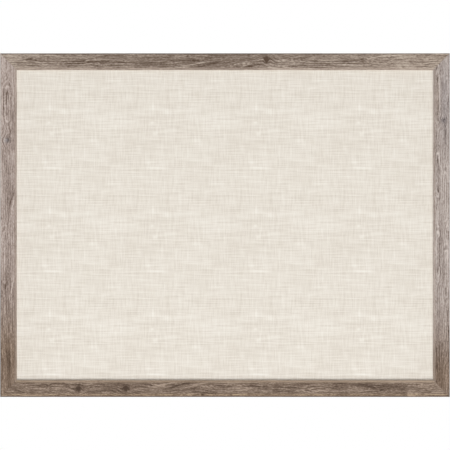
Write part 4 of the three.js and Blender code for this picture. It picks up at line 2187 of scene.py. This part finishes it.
@dataclass
class RingHanger:
    """A folded strap, its two screws and the D-ring in its barrel, on one stile."""

    board: Board
    side: Side
    copies: RowOfCopies
    zinc: bpy.types.Material
    wire_zinc: bpy.types.Material
    wire_radius: float = 0.95
    ring_bend_radius: float = 2.0
    ring_reach: float = 11.5
    ring_side_gap: float = 0.5
    ring_rest_gap: float = 0.3
    sheet: float = 0.8
    layer_gap: float = 0.1
    hole_radius: float = 1.9
    edge_softness: float = 0.12
    blank_share: float = 1.2
    tool_reach_share: float = 1.5
    sharp_above: float = 45.0
    ring_sharp_above: float = 60.0
    round_steps: int = 24
    bar_steps: int = 6
    wire_sides: int = 20

    def __post_init__(self) -> None:
        """Read the strap's place and size."""
        self.name = self.side.name.lower()
        low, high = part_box(f"{self.name}_hanger_strap")
        self.barrel = (high.y - low.y) / 2
        self.width = high.x - low.x
        self.axis = middle((low, high))
        self.axis.z = high.z - self.barrel
        self.length = self.axis.z - low.z

    def place(self) -> Matrix:
        """Give what takes the hanger's frame, a hanging one at the ring's axis, to the board's."""
        return Matrix.Translation(self.axis) @ HANGING

    def strap(self) -> bpy.types.Mesh:
        """Make the folded strap about the ring's axis.

        Returns:
            The strap in the hanger's frame.
        """
        sheet = self.sheet * MM
        fold = self.barrel - sheet / 2
        throat = self.barrel - sheet * 1.5 - self.layer_gap * MM
        bend = (fold + throat, 0.0)
        foot = self.length
        reach = self.barrel * self.tool_reach_share
        outline = [(foot, -self.barrel)]
        outline += arc((0.0, 0.0), self.barrel, -90.0, -360.0, self.round_steps * 2)
        outline += arc(bend, throat - sheet / 2, 180.0, 270.0, self.round_steps // 3)[1:]
        outline += [(foot, -throat + sheet / 2), (foot, -throat - sheet / 2)]
        outline += arc(bend, throat + sheet / 2, 270.0, 180.0, self.round_steps // 3)
        outline += arc((0.0, 0.0), self.barrel - sheet, 0.0, 270.0, self.round_steps * 2)[1:]
        outline += [(foot, -self.barrel + sheet)]
        half = self.width / 2
        blank = prism(outline, -half * self.blank_share, half * self.blank_share)
        blank.transform(Matrix(((0, 0, 1, 0), (1, 0, 0, 0), (0, 1, 0, 0), (0, 0, 0, 1))))
        plan = [(-half, -reach), (half, -reach)]
        plan += arc((0.0, foot - half), half, 0.0, 180.0, self.round_steps)
        strap = shaped(outward(blank), prism(plan, -reach, reach), "INTERSECT")
        for place in self.screw_places():
            rim = circle(place.xy, self.hole_radius * MM, self.round_steps)
            strap = shaped(strap, prism(rim, -reach, reach))
        return softened(strap, self.edge_softness * MM, self.sharp_above)

    def screw_places(self) -> list[Vector]:
        """Find where the screws' heads stand in the hanger's frame.

        Returns:
            The places, from the barrel down.
        """
        places = []
        for number in (1, 2):
            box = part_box(f"{self.name}_hanger_screw_{number}")
            foot = middle(box)
            foot.y = box[1].y - HangerScrew().head_height * MM
            places.append(self.place().inverted() @ foot)
        return places

    def ring(self) -> bpy.types.Mesh:
        """Make the D-ring about its axis, leaning on the moulding.

        Returns:
            The ring in the hanger's frame.
        """
        corner = self.ring_bend_radius * MM
        bow = self.width / 2 + self.ring_side_gap * MM + corner
        bend = bow - corner
        shoulder = self.ring_reach * MM - bow
        steps = self.round_steps // 4
        path = arc((bend, -corner), corner, 90.0, 0.0, steps)
        path += arc((0.0, -shoulder), bow, 0.0, -180.0, self.round_steps * 2)
        path += arc((-bend, -corner), corner, 180.0, 90.0, steps)
        path += [(bend * (2 * i / self.bar_steps - 1), 0.0) for i in range(1, self.bar_steps)]
        values = {"Wire Radius": self.wire_radius * MM, "Sides": self.wire_sides, "Finish": self.wire_zinc}
        start = loop_mesh("ring_path", [(x, y, 0.0) for x, y in path])
        ring = BentWire().build(f"{self.name}_ring", start, values)
        rise = self.barrel - (self.wire_radius + self.ring_rest_gap) * MM
        lean = math.asin(rise / (self.ring_reach * MM))
        ring.transform(Matrix.Rotation(lean, 4, "X"))
        return ring

    def build(self, screw: bpy.types.Mesh) -> None:
        """Build the hanger.

        Args:
            screw: The screw that it is held by.
        """
        name = self.name
        strap = moved(self.strap(), self.place())
        show(f"{name}_strap", strap, [f"{name}_hanger_strap"], self.zinc)
        ring = moved(self.ring(), self.place())
        body = f"{name}_ring"
        show(body, ring, [f"{name}_d_ring"], self.wire_zinc, body, self.ring_sharp_above)
        screws = self.copies.row("screws", screw, self.screw_places(), self.zinc)
        nodes = [f"{name}_hanger_screw_{number}" for number in (1, 2)]
        show(f"{name}_screws", moved(screws, self.place()), nodes, self.zinc)


@dataclass
class WallBumpers:
    """The two soft bumpers behind the bottom rail."""

    board: Board
    copies: RowOfCopies
    foot_round: float = 0.25
    rim: float = 1.0
    top_radius: float = 3.0
    sides: int = 48
    foot_steps: int = 3
    dome_steps: int = 8

    def bumper(self) -> bpy.types.Mesh:
        """Make one bumper that stands on Z = 0.

        Returns:
            The bumper.
        """
        low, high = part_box("left_wall_bumper")
        radius = (high.x - low.x) / 2
        height = high.y - low.y
        foot = self.foot_round * MM
        top = self.top_radius * MM
        profile = [(0.0, 0.0)] + arc((radius - foot, foot), foot, -90.0, 0.0, self.foot_steps)
        profile += dome(top, radius, self.rim * MM, height, self.dome_steps)
        return turned(profile + [(0.0, height)], self.sides)

    def build(self) -> None:
        """Build both bumpers."""
        nodes = ["left_wall_bumper", "right_wall_bumper"]
        places = []
        for node in nodes:
            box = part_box(node)
            foot = middle(box)
            foot.y = box[0].y
            places.append(HANGING.inverted() @ foot)
        rubber = ClearRubber("clear_rubber").build()
        mesh = moved(self.copies.row("wall_bumpers", self.bumper(), places, rubber), HANGING)
        show("wall_bumpers", mesh, nodes, rubber)


def main() -> None:
    """Build the board's looks in the order in which the board is put together."""
    logging.basicConfig(level=logging.INFO, format="%(message)s")
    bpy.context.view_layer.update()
    board = Board()
    Studio(board).build()
    MouldingFrame(board).build()
    LinenPanel(board).build()
    copies = RowOfCopies()
    zinc = ZincPlate("zinc_plate").build()
    wire_zinc = ZincPlate("zinc_wire", roughness=0.26).build()
    PanelFasteners(board, copies, zinc).build()
    screw = HangerScrew().build()
    for side in (Side.LEFT, Side.RIGHT):
        RingHanger(board, side, copies, zinc, wire_zinc).build(screw)
    WallBumpers(board, copies).build()


if __name__ == "__main__":
    main()
